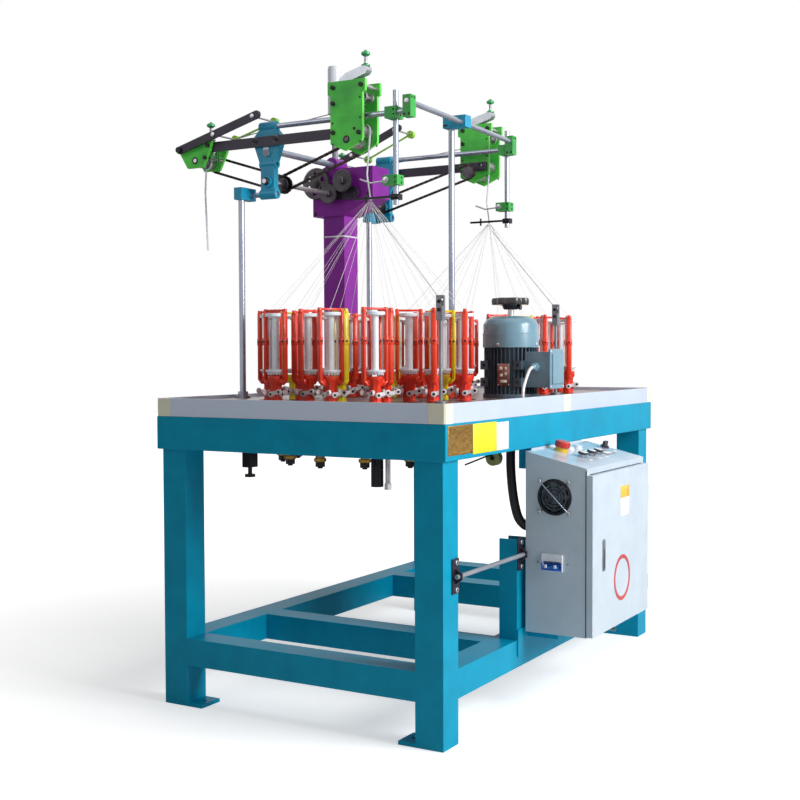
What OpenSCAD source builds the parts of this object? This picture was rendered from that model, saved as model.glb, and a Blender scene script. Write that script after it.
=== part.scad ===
// Two-head ribbon braiding machine on a welded table, in millimetres, +Z up.
// The origin is on the floor, midway between the four anchor holes of the feet.
// X runs along the short front side, Y along the long side away from the front.

/* [Table] */
// Width of the table along X
table_w = 916; // [900:1:940]
// Depth of the table along Y
table_d = 1520; // [1500:1:1560]
// Height of the top of the welded band
band_top = 810; // [800:1:830]
// Height of the band that runs round the table
band_h = 92; // [84:1:100]
// Thickness of the band beams
band_t = 60; // [50:1:70]
// Side of the square leg tubes
leg = 80; // [72:1:88]
// Set-back of the legs from the band faces along X
leg_in_x = 13; // [8:1:20]
// Set-back of the legs from the band faces along Y
leg_in_y = 10; // [6:1:20]
// Height of the lower rails above the floor
rail_z = 115; // [100:1:130]
// Height of the lower rails
rail_h = 76; // [70:1:84]
// Width of the lower rails
rail_w = 80; // [70:1:80]
// Thickness of the foot plates
foot_t = 10; // [8:1:14]
// How far a foot plate reaches inward past its leg
foot_reach = 50; // [45:1:60]
// Radius of the anchor holes in the foot plates
anchor_r = 7; // [5:0.5:9]
// Thickness of the rim plates
rim_t = 6; // [4:0.5:8]
// Height of the rim plates
rim_h = 50; // [46:1:56]
// Reach of a corner piece along X
corner_x = 50; // [40:1:60]
// Reach of a corner piece along Y
corner_y = 40; // [34:1:50]

/* [Bed] */
// Thickness of the lower bed plate
base_t = 12; // [10:1:15]
// Clear height between the bed plates
bed_gap = 16; // [15:1:20]
// Thickness of the track plate
track_t = 12; // [10:1:14]
// Position of the front head along Y
head_front = -380; // [-390:1:-375]
// Position of the rear head along Y
head_rear = 360; // [355:1:370]
// Radius of the circle on which the horn gears stand
ring_r = 244; // [240:1:248]
// Horn gears in each head
gears_n = 12; // [12:2:12]
// Width of the track slots
slot_w = 12; // [10:1:14]
// Diameter of the horn gear shafts
horn_shaft_d = 16; // [12:1:20]
// Length of the horn gear shafts below the lower bed plate
horn_tail = 112; // [100:1:120]

/* [Carriers] */
// Width over the two posts of a carrier
carrier_w = 74; // [70:1:78]
// Thickness of the carrier posts
post_d = 9; // [8:0.5:10]
// Width of the carrier posts across the line between them
post_w = 16; // [12:1:17]
// Height of the carrier body above the bed
carrier_body_h = 72; // [66:1:80]
// Height of the posts above the body
post_h = 174; // [160:1:190]
// Diameter of the carrier body
carrier_body_d = 44; // [38:1:46]
// Diameter of the bobbin flanges
flange_d = 52; // [46:1:54]
// Diameter of the bobbin barrel
barrel_d = 24; // [16:1:26]
// Angle of the horn gears, from the point farthest out
phase = 28; // [0:1:90]
// Diameter of a yarn
yarn_d = 0.9; // [0.6:0.1:1.2]

/* [Column and gearbox] */
// Position of the column along X
column_x = -335; // [-345:1:-325]
// Side of the square column tube
column_w = 80; // [76:1:90]
// Wall of the column tube
column_wall = 6; // [4:0.5:8]
// Height of the underside of the gearbox
gearbox_z = 1426; // [1400:1:1440]
// Height of the gearbox
gearbox_h = 150; // [146:1:160]
// Length of the gearbox along X
gearbox_l = 228; // [220:1:240]
// Depth of the gearbox along Y
gearbox_d = 100; // [90:1:110]
// Wall of the gearbox
gearbox_wall = 9; // [7:1:12]
// Diameter of the upright drive shaft
drive_shaft_d = 22; // [18:1:26]
// Module of the change gears
gear_m = 1.5; // [1.5:0.5:1.5]
// Teeth of the driving change gear
teeth_r = 46; // [44:1:48]
// Teeth of the front change gear on the line shaft
teeth_m = 41; // [39:1:43]
// Teeth of the small gear behind it
teeth_p = 20; // [20:1:22]
// Teeth of the large change gear
teeth_l = 66; // [64:1:68]
// Face width of the change gears
gear_b = 9; // [7:1:12]

/* [Arms] */
// Centre plane of the front arm along Y
arm_front = -395; // [-400:1:-392]
// Centre plane of the rear arm along Y
arm_rear = 350; // [345:1:352]
// Height of the arm tubes
rod_z = 1657; // [1650:1:1665]
// Diameter of the arm tubes
rod_d = 16; // [14:1:18]
// Height of the middle of the flat bars
bar_z = 1612; // [1608:1:1616]
// Height of the flat bars
bar_h = 29; // [26:1:34]
// Thickness of the flat bars
bar_t = 10; // [8:1:10]
// Height of the line shafts
line_z = 1494; // [1490:1:1500]
// Diameter of the line shafts
line_d = 14; // [12:1:16]
// Height of the stay bar between the gearbox and the brackets
stay_z = 1578; // [1575:1:1582]
// Diameter of the stay bars
stay_d = 20; // [18:1:22]
// Diameter of the upright posts
upright_d = 19; // [17:1:22]
// Diameter of the guide rods
guide_d = 16; // [14:1:18]
// Top of the guide rods
guide_top = 1723; // [1715:1:1735]
// Bottom of the guide rods
guide_bottom = 1402; // [1395:1:1410]
// Height of the braiding points
braid_z = 1416; // [1410:1:1420]

/* [Take-up units] */
// Thickness of the take-up side plates
plate_t = 10; // [8:1:12]
// Clear space between the side plates
plate_gap = 70; // [66:1:76]
// Width of the lower part of the tall side plates
tall_w = 108; // [104:1:116]
// Height of the tall side plates above their roller shafts
tall_rise = 166; // [160:1:174]
// Depth of the tall side plates below their roller shafts
tall_drop = 32; // [26:1:40]
// Radius of the take-up rollers
roller_r = 19; // [17:0.5:20]
// Diameter of the take-up roller shafts
roller_shaft_d = 14; // [12:1:16]
// Teeth of the chain sprockets
sprocket_n = 15; // [15:1:15]
// Pitch of the chains
chain_pitch = 9.525; // [9.525:0.5:9.525]

/* [Motor] */
// Position of the motor along X
motor_x = 297; // [290:1:300]
// Position of the motor along Y
motor_y = -45; // [-55:1:-35]
// Diameter of the motor cowl
cowl_d = 166; // [160:1:170]
// Diameter of the motor body without its fins
motor_d = 138; // [130:1:142]
// Height of the motor body above the bed
motor_h = 161; // [150:1:170]
// Height of the cowl
cowl_h = 92; // [86:1:100]
// Diameter of the hand wheel
wheel_d = 116; // [110:1:124]
// Diameter of the motor shaft
motor_shaft_d = 19; // [16:1:24]

/* [Cabinet] */
// Gap between the band and the inner side of the cabinet
cab_off = 1; // [1:1:12]
// Width of the cabinet along X, without the door
cab_w = 180; // [170:1:190]
// Near side of the cabinet along Y
cab_y = -295; // [-297:1:-290]
// Depth of the cabinet along Y
cab_d = 450; // [430:1:470]
// Underside of the cabinet
cab_z = 213; // [205:1:220]
// Height of the cabinet at its inner side
cab_h = 500; // [490:1:503]
// Drop of the control panel toward the door
cab_drop = 42; // [36:1:50]
// Wall of the cabinet
cab_wall = 2; // [1.5:0.1:3]
// Thickness of the door
door_t = 16; // [12:1:20]
// Diameter of the cooling fan
fan_d = 96; // [90:1:100]

/* [Hidden] */
// Free play of a shaft in its bore, on the radius
run_fit = 0.05;
// Gap between pieces that pass or face each other
gap = 0.3;
heads = [head_front, head_rear];
arms = [arm_front, arm_rear];
outward = [-1, 1];
bed_z = band_top + base_t + bed_gap + track_t;
band_z = band_top - band_h;
leg_x = table_w / 2 - leg_in_x - leg / 2;
leg_y = table_d / 2 - leg_in_y - leg / 2;
anchor_x = leg_x - leg / 2 - foot_reach / 2;
anchor_y = leg_y;
cab_x = table_w / 2 + cab_off;
cross_y = [-340, 415];

// Horn gears touch along the ring, so their path radius follows from it
horn_r = ring_r * sin(180 / gears_n);
track_r = ring_r + horn_r + 42;
horn_gear_h = bed_gap - 2;

carrier_top = bed_z + gap + carrier_body_h + post_h;
post_x = carrier_w / 2 - post_d / 2;
bobbin_z = bed_z + carrier_body_h + 4 + 2 * gap;
bobbin_h = post_h - 8;

line_x = [-330, -375];
bracket_w = 58;
gearbox_x = column_x + 40;
gearbox_front = -gearbox_d / 2;
pitch_r = gear_m * teeth_r / 2;
pitch_m = gear_m * teeth_m / 2;
pitch_p = gear_m * teeth_p / 2;
pitch_l = gear_m * teeth_l / 2;
mesh_r = 35;
mesh_l = 146;
gear_play = 0.25;
mesh_r_d = pitch_r + pitch_m + gear_play;
mesh_l_d = pitch_p + pitch_l + gear_play;
gear_r_pos = [line_x[0] + mesh_r_d * cos(mesh_r), line_z + mesh_r_d * sin(mesh_r)];
gear_l_pos = [line_x[0] + mesh_l_d * cos(mesh_l), line_z + mesh_l_d * sin(mesh_l)];
boss_h = 6;
gear_back = gearbox_front - boss_h - 8;
gear_front = gear_back - gear_b - 2;

guide_x = [95, 88];
guide_y = [arm_front + 20, arm_rear + 20];
tall_block_x = [150, 112];
post_left_x = [-408, -420];
post_left_y = [arm_front - 36, arm_rear - 36];
right_post = [90, -30];
cross_tube_z = 1682;
sprocket_r = chain_pitch / 2 / sin(180 / sprocket_n);
rod_low_z = 1458;
stay_rod_z = stay_z + 12;
// Rows of the chains, measured from the arm plane toward the gearbox
row_top = 64;
row_end = 78;
row_rear_top = 28;
row_rear_end = 89;
braid_x = [8, 20];
braid_y = [arm_front + 22, arm_rear + 22];
low_clamp_z = 1470;
spindle_d = 6;
// Thickness of the link over the carrier posts
link_t = 7;
// Radius of the ring on which the yarns of a head meet
fell_r = 5.5;

// A box between two corners
module block(a, b) {
  translate([min(a[0], b[0]), min(a[1], b[1]), min(a[2], b[2])])
    cube([abs(b[0] - a[0]), abs(b[1] - a[1]), abs(b[2] - a[2])]);
}

// A round rod between two points
module rod(a, b, d) {
  v = b - a;
  translate(a)
    rotate([0, acos(v[2] / norm(v)), atan2(v[1], v[0])])
      cylinder(h = norm(v), d = d, $fn = 32);
}

// A round pin standing on p, along Z or along X
module pin(p, h, d, n = 32) {
  translate(p)
    cylinder(h = h, d = d, $fn = n);
}

module x_pin(p, h, d) {
  translate(p)
    rotate([0, 90, 0])
      cylinder(h = h, d = d, $fn = 32);
}

module up(z) {
  translate([0, 0, z])
    children();
}

module spin(a) {
  rotate([0, 0, a])
    children();
}

// An XZ outline that reaches from y toward the front
module slab_y(y, t) {
  translate([0, y, 0])
    rotate([90, 0, 0])
      linear_extrude(t)
        children();
}

// A closed square tube leg with its foot plate
module leg_with_foot(sx, sy) {
  translate([sx * leg_x - leg / 2, sy * leg_y - leg / 2, foot_t])
    cube([leg, leg, band_z - foot_t]);
  block(
    [sx * (leg_x + leg / 2), sy * leg_y - leg / 2, 0],
    [sx * (leg_x - leg / 2 - foot_reach), sy * leg_y + leg / 2, foot_t]
  );
}

module leg_frame() {
  color("teal")
    difference() {
      union() {
        for (sx = [-1, 1], sy = [-1, 1])
          leg_with_foot(sx, sy);
        for (sy = [-1, 1])
          block([-leg_x, sy * leg_y - rail_w / 2, rail_z], [leg_x, sy * leg_y + rail_w / 2, rail_z + rail_h]);
        for (sx = [-1, 1])
          block([sx * leg_x - rail_w / 2, -leg_y, rail_z], [sx * leg_x + rail_w / 2, leg_y, rail_z + rail_h]);
        for (y = cross_y)
          block([-leg_x, y - rail_w / 2, rail_z], [leg_x, y + rail_w / 2, rail_z + rail_h]);
      }
      for (sx = [-1, 1], sy = [-1, 1])
        translate([sx * anchor_x, sy * anchor_y, -1])
          cylinder(h = foot_t + 2, r = anchor_r, $fn = 32);
    }
}

module table_band() {
  color("teal")
    up(band_z)
      linear_extrude(band_h)
        difference() {
          square([table_w, table_d], center = true);
          square([table_w - 2 * band_t, table_d - 2 * band_t], center = true);
        }
}

// Places its children at every horn gear of both heads
module at_horn_gears() {
  for (h = heads, i = [0 : gears_n - 1]) {
    $turn = i % 2 == 0 ? phase : -phase;
    translate([ring_r * cos(360 * i / gears_n), h + ring_r * sin(360 * i / gears_n), 0])
      spin(360 * i / gears_n)
        children();
  }
}

inner_w = table_w - 2 * rim_t - 2 * gap;
inner_d = table_d - 2 * rim_t - 2 * gap;

module base_plate() {
  color("dimgray")
    difference() {
      translate([-inner_w / 2, -inner_d / 2, band_top])
        cube([inner_w, inner_d, base_t]);
      at_horn_gears()
        pin([0, 0, band_top - 1], base_t + 2, horn_shaft_d + 2 * run_fit);
      pin([motor_x, motor_y, band_top - 1], base_t + 2, motor_shaft_d + 6);
      pin([column_x, 0, band_top - 1], base_t + 2, drive_shaft_d + 2 * run_fit);
    }
}

// Upper plate: a slot runs round every horn gear, and neighbouring slots cross
module bed_plate() {
  skirt = 20;
  color("silver") {
    for (h = heads, k = [0 : 5])
      pin([90 * cos(60 * k), h + 90 * sin(60 * k), band_top + base_t], bed_gap + 1, 24);
    difference() {
      translate([-inner_w / 2, -inner_d / 2, band_top + base_t])
        cube([inner_w, inner_d, bed_gap + track_t]);
      translate([-inner_w / 2 + skirt, -inner_d / 2 + skirt, band_top + base_t - 1])
        cube([inner_w - 2 * skirt, inner_d - 2 * skirt, bed_gap + 1]);
      at_horn_gears()
        up(bed_z - track_t - 1)
          cylinder(h = track_t + 2, r = horn_r + slot_w / 2, $fn = 64);
      pin([motor_x, motor_y, bed_z - track_t - 1], track_t + 2, motor_shaft_d + 6);
      pin([column_x, 0, bed_z - track_t - 1], track_t + 2, drive_shaft_d + 8);
    }
  }
}

// The round islands inside the track slots, each on its horn gear's stud
module quoits() {
  color("gainsboro")
    difference() {
      at_horn_gears()
        up(bed_z - track_t + gap)
          cylinder(h = track_t - gap, r = horn_r - slot_w / 2, $fn = 64);
      at_horn_gears()
        pin([0, 0, bed_z - track_t], 8, horn_shaft_d + 2 * run_fit);
    }
}

// Four-horned driving discs with their shafts, which end below the table
module horn_gears() {
  quoits();
  z0 = band_top + base_t + 1;
  color("darkgoldenrod")
    at_horn_gears() {
      up(z0)
        linear_extrude(horn_gear_h - 1)
          difference() {
            circle(r = horn_r - gap, $fn = 64);
            for (k = [0 : 3])
              spin(90 * k + $turn)
                translate([horn_r, 0])
                  circle(d = slot_w + 2, $fn = 32);
          }
      pin([0, 0, band_top - horn_tail], horn_tail + base_t + bed_gap + 7, horn_shaft_d);
      pin([0, 0, band_top - horn_tail], 14, horn_shaft_d + 10, 6);
    }
}

module rim_plates() {
  rim_corners();
  y = table_d / 2;
  x = table_w / 2;
  color("lightsteelblue")
    difference() {
      up(band_top)
        linear_extrude(rim_h)
          difference() {
            square([2 * x, 2 * y], center = true);
            square([2 * x - 2 * rim_t, 2 * y - 2 * rim_t], center = true);
          }
      for (sx = [-1, 1], sy = [-1, 1])
        block(
          [sx * (x - corner_x), sy * (y - corner_y), band_top - 1],
          [sx * (x + 1), sy * (y + 1), band_top + rim_h + 1]
        );
    }
}

// Angle pieces that close the rim at its corners, and a cover strip on each long side
module rim_corners() {
  x = table_w / 2;
  y = table_d / 2;
  color("ivory") {
    for (sx = [-1, 1], sy = [-1, 1])
      up(band_top)
        linear_extrude(rim_h)
          polygon([
              [sx * (x - corner_x + gap), sy * y],
              [sx * (x - 5), sy * y],
              [sx * x, sy * (y - 5)],
              [sx * x, sy * (y - corner_y + gap)],
              [sx * (x - rim_t), sy * (y - corner_y + gap)],
              [sx * (x - rim_t), sy * (y - rim_t)],
              [sx * (x - corner_x + gap), sy * (y - rim_t)]
            ]);
    for (sx = [-1, 1])
      block([sx * x, -25, band_top], [sx * (x + 1.5), 25, band_top + rim_h]);
  }
}

// Neighbouring horn gears turn opposite ways, and the two running directions pass a crossing in turn
function carrier_turn(i, k) = 90 * k + (i % 2 == 0 ? phase : 90 - phase);

function carrier_place(i, k) =
  let(g = 360 * i / gears_n, a = g + carrier_turn(i, k))
    [ring_r * cos(g) + horn_r * cos(a), ring_r * sin(g) + horn_r * sin(a)];

// Places its children at the two carriers of every horn gear
module at_carriers() {
  for (h = [0, 1], i = [0 : gears_n - 1], k = [0, 1]) {
    c = carrier_place(i, k);
    $pale = k == 1 && (i + h) % 3 == 0;
    translate([c[0], heads[h] + c[1], 0])
      spin(360 * i / gears_n + carrier_turn(i, k) + 90)
        children();
  }
}

// Turned body of a carrier: foot, disc, barrel, flared head and spindle
module carrier_barrel() {
  r = carrier_body_d / 2;
  h = carrier_body_h;
  up(bed_z + gap)
    rotate_extrude($fn = 40)
      polygon([
        [0, -track_t - 10],
        [slot_w / 2 - 1, -track_t - 10],
        [slot_w / 2 - 1, 0],
        [r - 5, 0],
        [r - 5, 5],
        [r - 9, 5],
        [r - 9, h * 0.7],
        [r, h * 0.88],
        [r, h],
        [spindle_d / 2, h],
        [spindle_d / 2, h + post_h + 0.5],
        [0, h + post_h + 0.5]
      ]);
}

// Post of a carrier with a boss at mid-height
module carrier_post() {
  up(-10)
    linear_extrude(post_h + 11)
      square([post_d, post_w], center = true);
  up(post_h * 0.42)
    linear_extrude(post_h * 0.16)
      square([post_d + 3, post_w + 3], center = true);
}

module carriers() {
  carrier_levers();
  at_carriers()
    color($pale ? "yellow" : "orangered") {
      carrier_barrel();
      for (k = [0 : 3])
        spin(45 + 90 * k)
          translate([carrier_body_d / 2 - 10, -1.5, bed_z + gap + 4])
            cube([4.5, 3, carrier_body_h * 0.6]);
      block(
        [-post_x, 1 - post_d / 2, bed_z + gap + carrier_body_h * 0.88],
        [post_x, post_d / 2 - 1, bed_z + gap + carrier_body_h]
      );
      for (s = [-1, 1])
        translate([s * post_x, 0, bed_z + gap + carrier_body_h])
          carrier_post();
      up(carrier_top)
        linear_extrude(link_t)
          square([carrier_w + 4, post_d + 4], center = true);
    }
}

// Flanged bobbins with a ratchet ring under the lower flange
module bobbins() {
  r = flange_d / 2;
  b = barrel_d / 2;
  color("white")
    at_carriers()
      up(bobbin_z) {
        rotate_extrude($fn = 40)
          polygon([
            [spindle_d / 2 + run_fit, 0],
            [r - 5, 0],
            [r, 5],
            [r, 7],
            [b, 6],
            [b, bobbin_h - 4],
            [r, bobbin_h - 4],
            [r, bobbin_h],
            [spindle_d / 2 + run_fit, bobbin_h]
          ]);
        for (k = [0 : 5])
          spin(60 * k)
            translate([r - 12, -2, -4])
              cube([5, 4, 5]);
      }
}

// A pair of pawl levers on each carrier body
module carrier_levers() {
  z = bed_z + 26;
  color("whitesmoke")
    at_carriers()
      for (s = [-1, 1])
        translate([s * 13, s * -(carrier_body_d / 2 - 5 + gap + 3), z])
          rotate([90, -s * 14, 0])
            up(-3)
              linear_extrude(6)
                difference() {
                  union() {
                    translate([-13, -5])
                      square([26, 10]);
                    for (e = [-1, 1])
                      translate([e * 13, 0])
                        circle(d = 13, $fn = 24);
                  }
                  for (e = [-1, 1])
                    translate([e * 13, 0])
                      circle(d = 5, $fn = 24);
                }
}

// Yarns run from the carrier tops to a ring round the braiding point of their head
module yarns() {
  ribbons();
  color("white")
    for (h = [0, 1], i = [0 : gears_n - 1], k = [0, 1]) {
      a = carrier_place(i, k);
      g = 360 * i / gears_n;
      turn = g + 10 + (k == i % 2 ? -7.5 : 7.5);
      rod(
        [a[0], heads[h] + a[1], carrier_top + link_t + 2 * gap],
        [braid_x[h] + fell_r * cos(turn), braid_y[h] + fell_r * sin(turn), braid_z],
        yarn_d
      );
    }
}

module column() {
  w = column_w;
  color("indigo")
    difference() {
      union() {
        translate([column_x - w / 2, -w / 2, bed_z + 12])
          cube([w, w, gearbox_z - bed_z - 12]);
        translate([column_x - 70, -70, bed_z])
          cube([140, 140, 12]);
        for (m = [0, 1])
          translate([column_x, 0, bed_z + 12])
            rotate([90, 0, 180 * m])
              up(-4)
                linear_extrude(8)
                  polygon([[w / 2, 0], [w / 2 + 28, 0], [w / 2, 48]]);
      }
      translate([column_x - w / 2 + column_wall, -w / 2 + column_wall, bed_z - 1])
        cube([w - 2 * column_wall, w - 2 * column_wall, gearbox_z - bed_z + 2]);
      for (sx = [-1, 1], sy = [-1, 1])
        pin([column_x + sx * 56, sy * 56, bed_z - 1], 14, 11, 24);
    }
}

// Cast housing over the column, open inside, with bearing bores along Y
module gearbox() {
  gear_quadrant();
  x0 = gearbox_x - gearbox_l / 2;
  x1 = gearbox_x + gearbox_l / 2;
  z0 = gearbox_z;
  z1 = gearbox_z + gearbox_h;
  t = gearbox_wall;
  color("purple")
    difference() {
      union() {
        slab_y(gearbox_d / 2, gearbox_d)
          polygon([
            [x0, z0],
            [column_x + column_w / 2 + 6, z0],
            [x1, z0 + 52],
            [x1, z1],
            [x0 + 26, z1],
            [x0, z1 - 26]
          ]);
        y_shaft([column_x, stay_rod_z], gearbox_front - 4, 8, stay_d + 26);
        for (p = [[line_x[0], line_z], gear_r_pos, gear_l_pos])
          y_shaft(p, gearbox_front - boss_h, gearbox_front + 1, 30);
      }
      slab_y(gearbox_d / 2 - t, gearbox_d - 2 * t)
        polygon([
          [x0 + t, z0 + t],
          [column_x + column_w / 2, z0 + t],
          [x1 - t, z0 + 52 + t / 2],
          [x1 - t, z1 - t - 6],
          [x0 + t + 26, z1 - t - 6],
          [x0 + t, z1 - t - 32]
        ]);
      pin([column_x, 0, z0 - 1], t + 2, drive_shaft_d + 2 * run_fit);
      y_shaft([column_x, stay_rod_z], -gearbox_d, gearbox_d, stay_d);
      for (p = [[line_x[0], line_z], gear_r_pos])
        y_shaft(p, gearbox_front - boss_h - 1, gearbox_front + t + 1, line_d + 2 * run_fit);
      y_shaft(gear_l_pos, gearbox_front - boss_h - 1, gearbox_front + t - 1, line_d + 2 * run_fit);
      y_shaft([line_x[1], line_z], gearbox_d / 2 - t - 1, gearbox_d / 2 + 1, line_d + 2 * run_fit);
    }
}

// Spur gear outline: straight-flanked teeth a little narrower than their gaps
function tooth(z, m, k) = let(r = m * z / 2, a = 360 / z) [
  [r - 1.15 * m, (k - 0.31) * a],
  [r - 0.2 * m, (k - 0.21) * a],
  [r + 0.8 * m, (k - 0.1) * a],
  [r + 0.8 * m, (k + 0.1) * a],
  [r - 0.2 * m, (k + 0.21) * a],
  [r - 1.15 * m, (k + 0.31) * a]
];

module gear_outline(z, m) {
  polygon([for (k = [0 : z - 1], p = tooth(z, m, k)) [p[0] * cos(p[1]), p[0] * sin(p[1])]]);
}

// A spur gear on a Y axis, with its back face at y and a tooth pointing at angle a
module y_gear(p, y, z, a, b, holes = 0) {
  translate([p[0], y, p[1]])
    rotate([90, 0, 0])
      spin(a)
        linear_extrude(b)
          difference() {
            gear_outline(z, gear_m);
            for (k = [1 : holes])
              spin(360 * k / holes)
                translate([gear_m * z / 2 * 0.62, 0])
                  circle(r = gear_m * z / 2 * 0.17, $fn = 24);
          }
}

module y_shaft(p, y0, y1, d) {
  translate([p[0], max(y0, y1), p[1]])
    rotate([90, 0, 0])
      cylinder(h = abs(y1 - y0), d = d, $fn = 32);
}

module change_gear_drive() {
  color("dimgray") {
    y_gear(gear_r_pos, gear_front, teeth_r, mesh_r + 180, gear_b);
    y_shaft(gear_r_pos, gearbox_front + gearbox_wall + 8, gear_front - gear_b - 9, line_d);
    y_shaft(gear_r_pos, gear_front - gear_b - 6, gear_front - gear_b, 26);
    y_shaft(gear_r_pos, gearbox_front + gearbox_wall + gap, gearbox_front + gearbox_wall + 8, 34);
  }
}

module change_gear_large() {
  color("dimgray") {
    y_gear(gear_l_pos, gear_back, teeth_l, mesh_l + 180, gear_b, 6);
    y_shaft(gear_l_pos, gearbox_front + gearbox_wall - 1 - gap, gear_back - gear_b - 12, line_d);
    y_shaft(gear_l_pos, gear_back - gear_b - 8, gear_back - gear_b, 24);
  }
}

// Chain sprocket outline: its teeth stay inside the chain rollers
module sprocket(p, y, b = 4, n = sprocket_n) {
  r = chain_pitch / 2 / sin(180 / n);
  translate([p[0], y + b / 2, p[1]])
    rotate([90, 0, 0])
      linear_extrude(b)
        polygon([
          for (k = [0 : n - 1], q = [[-2.9, -0.36], [-2.7, -0.16], [-2.7, 0.16], [-2.9, 0.36]])
            [(r + q[0]) * cos((k + q[1]) * 360 / n), (r + q[0]) * sin((k + q[1]) * 360 / n)]
        ]);
}

module front_line_shaft() {
  p = [line_x[0], line_z];
  color("dimgray") {
    y_gear(p, gear_front, teeth_m, mesh_r + 180 / teeth_m, gear_b);
    y_gear(p, gear_back, teeth_p, mesh_l + 180 / teeth_p, gear_b);
    y_shaft(p, gear_front - gear_b - 6, gear_front - gear_b, 24);
    y_shaft(p, gear_front, gear_back - gear_b, 22);
    y_shaft(p, gearbox_front + gearbox_wall + gap, gearbox_front + gearbox_wall + 8, 26);
    for (r = [row_top, row_end])
      sprocket(p, arm_front + r);
    y_shaft(p, arm_front + row_top - 8, arm_front + row_end + 8, 30);
  }
  color("silver")
    y_shaft(p, gearbox_front + gearbox_wall + 8, arm_front - 28, line_d);
}

module rear_line_shaft() {
  p = [line_x[1], line_z];
  color("dimgray") {
    for (r = [row_rear_top, row_rear_end])
      sprocket(p, arm_rear - r);
    y_shaft(p, arm_rear - row_rear_end - 6, arm_rear - row_rear_end + 6, 30);
    y_shaft(p, arm_rear - row_rear_top - 6, arm_rear - row_rear_top + 4, 30);
    y_shaft(p, gearbox_d / 2 - gearbox_wall - gap, gearbox_d / 2 - gearbox_wall - 8, 26);
  }
  color("silver")
    y_shaft(p, gearbox_d / 2 - gearbox_wall - 8, arm_rear + 28, line_d);
}

module drive_shaft() {
  color("silver") {
    pin([column_x, 0, band_top - 20], gearbox_z + gearbox_wall + 8 - band_top + 20, drive_shaft_d);
    pin([column_x, 0, gearbox_z + gearbox_wall + gap], 8, 34);
  }
}

// Slotted plate on the gearbox front that holds the change gear studs
module gear_quadrant() {
  c = [line_x[0], line_z];
  y = gearbox_front - boss_h - gap;
  color("black")
    slab_y(y, 5)
      difference() {
        union() {
          translate(c)
            circle(r = 24, $fn = 40);
          translate([c[0] + 4, c[1] - 20])
            square([78, 40]);
          translate([c[0] + 82, c[1]])
            circle(r = 20, $fn = 40);
        }
        for (p = [c, gear_r_pos])
          translate(p)
            circle(d = line_d + 3, $fn = 40);
        translate([c[0] + 78, c[1] - 12])
          circle(d = 7, $fn = 24);
        translate([c[0] + 92, c[1] + 2])
          circle(d = 7, $fn = 24);
      }
}

module status_lamp() {
  x = column_x - 40;
  z = gearbox_z + gearbox_h;
  color("gainsboro") {
    pin([x, 30, z], 8, 32);
    pin([x, 30, z + 8], 182, 20);
  }
  color("white")
    translate([x, 30, z + 190])
      rotate_extrude($fn = 40)
        polygon([[0, 0], [20, 0], [23, 4], [23, 150], [21, 156], [0, 158]]);
}

// Uprights: two left posts carry the brackets, the right post carries the cross tube
module uprights() {
  color("silver") {
    for (s = [0, 1]) {
      pin([post_left_x[s], post_left_y[s], bed_z], rod_low_z + 18 - bed_z, upright_d);
      post_foot(post_left_x[s], post_left_y[s]);
    }
    pin([right_post[0], right_post[1], bed_z], cross_tube_z + 14 - bed_z, upright_d);
    post_foot(right_post[0], right_post[1]);
  }
}

module post_foot(x, y) {
  translate([x, y, bed_z])
    difference() {
      union() {
        cylinder(h = 7, d = 46, $fn = 40);
        cylinder(h = 20, d = upright_d + 12, $fn = 40);
      }
      for (k = [0 : 2])
        spin(30 + 120 * k)
          pin([19, 0, -1], 9, 4, 20);
    }
}

cross_a = [tall_block_x[0], arm_front, cross_tube_z];
cross_b = [tall_block_x[1], arm_rear, cross_tube_z];
cross_mid = cross_a + (cross_b - cross_a) * (right_post[1] - arm_front) / (arm_rear - arm_front);

module arm_tube(s, d) {
  rod([line_x[s] - bracket_w / 2 + 4, arms[s], rod_z], [tall_block_x[s] + 12, arms[s], rod_z], d);
}

module low_rod(s, d) {
  rod([post_left_x[s] - 10, arms[s], rod_low_z], [line_x[s] + bracket_w / 2 - 4, arms[s], rod_low_z], d);
}

module cross_tube(d) {
  v = (cross_b - cross_a) / norm(cross_b - cross_a);
  rod(cross_a - 12 * v, cross_b + 12 * v, d);
}

module guide_rod(s, d) {
  rod([guide_x[s], guide_y[s], guide_bottom], [guide_x[s], guide_y[s], guide_top], d);
}

module arm_tubes() {
  uprights();
  color("silver") {
    for (s = [0, 1]) {
      arm_tube(s, rod_d);
      low_rod(s, rod_d);
      guide_rod(s, guide_d);
    }
    cross_tube(rod_d);
    rod([column_x, arm_front - 11, stay_rod_z], [column_x, arm_rear + 11, stay_rod_z], stay_d);
  }
}

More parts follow.
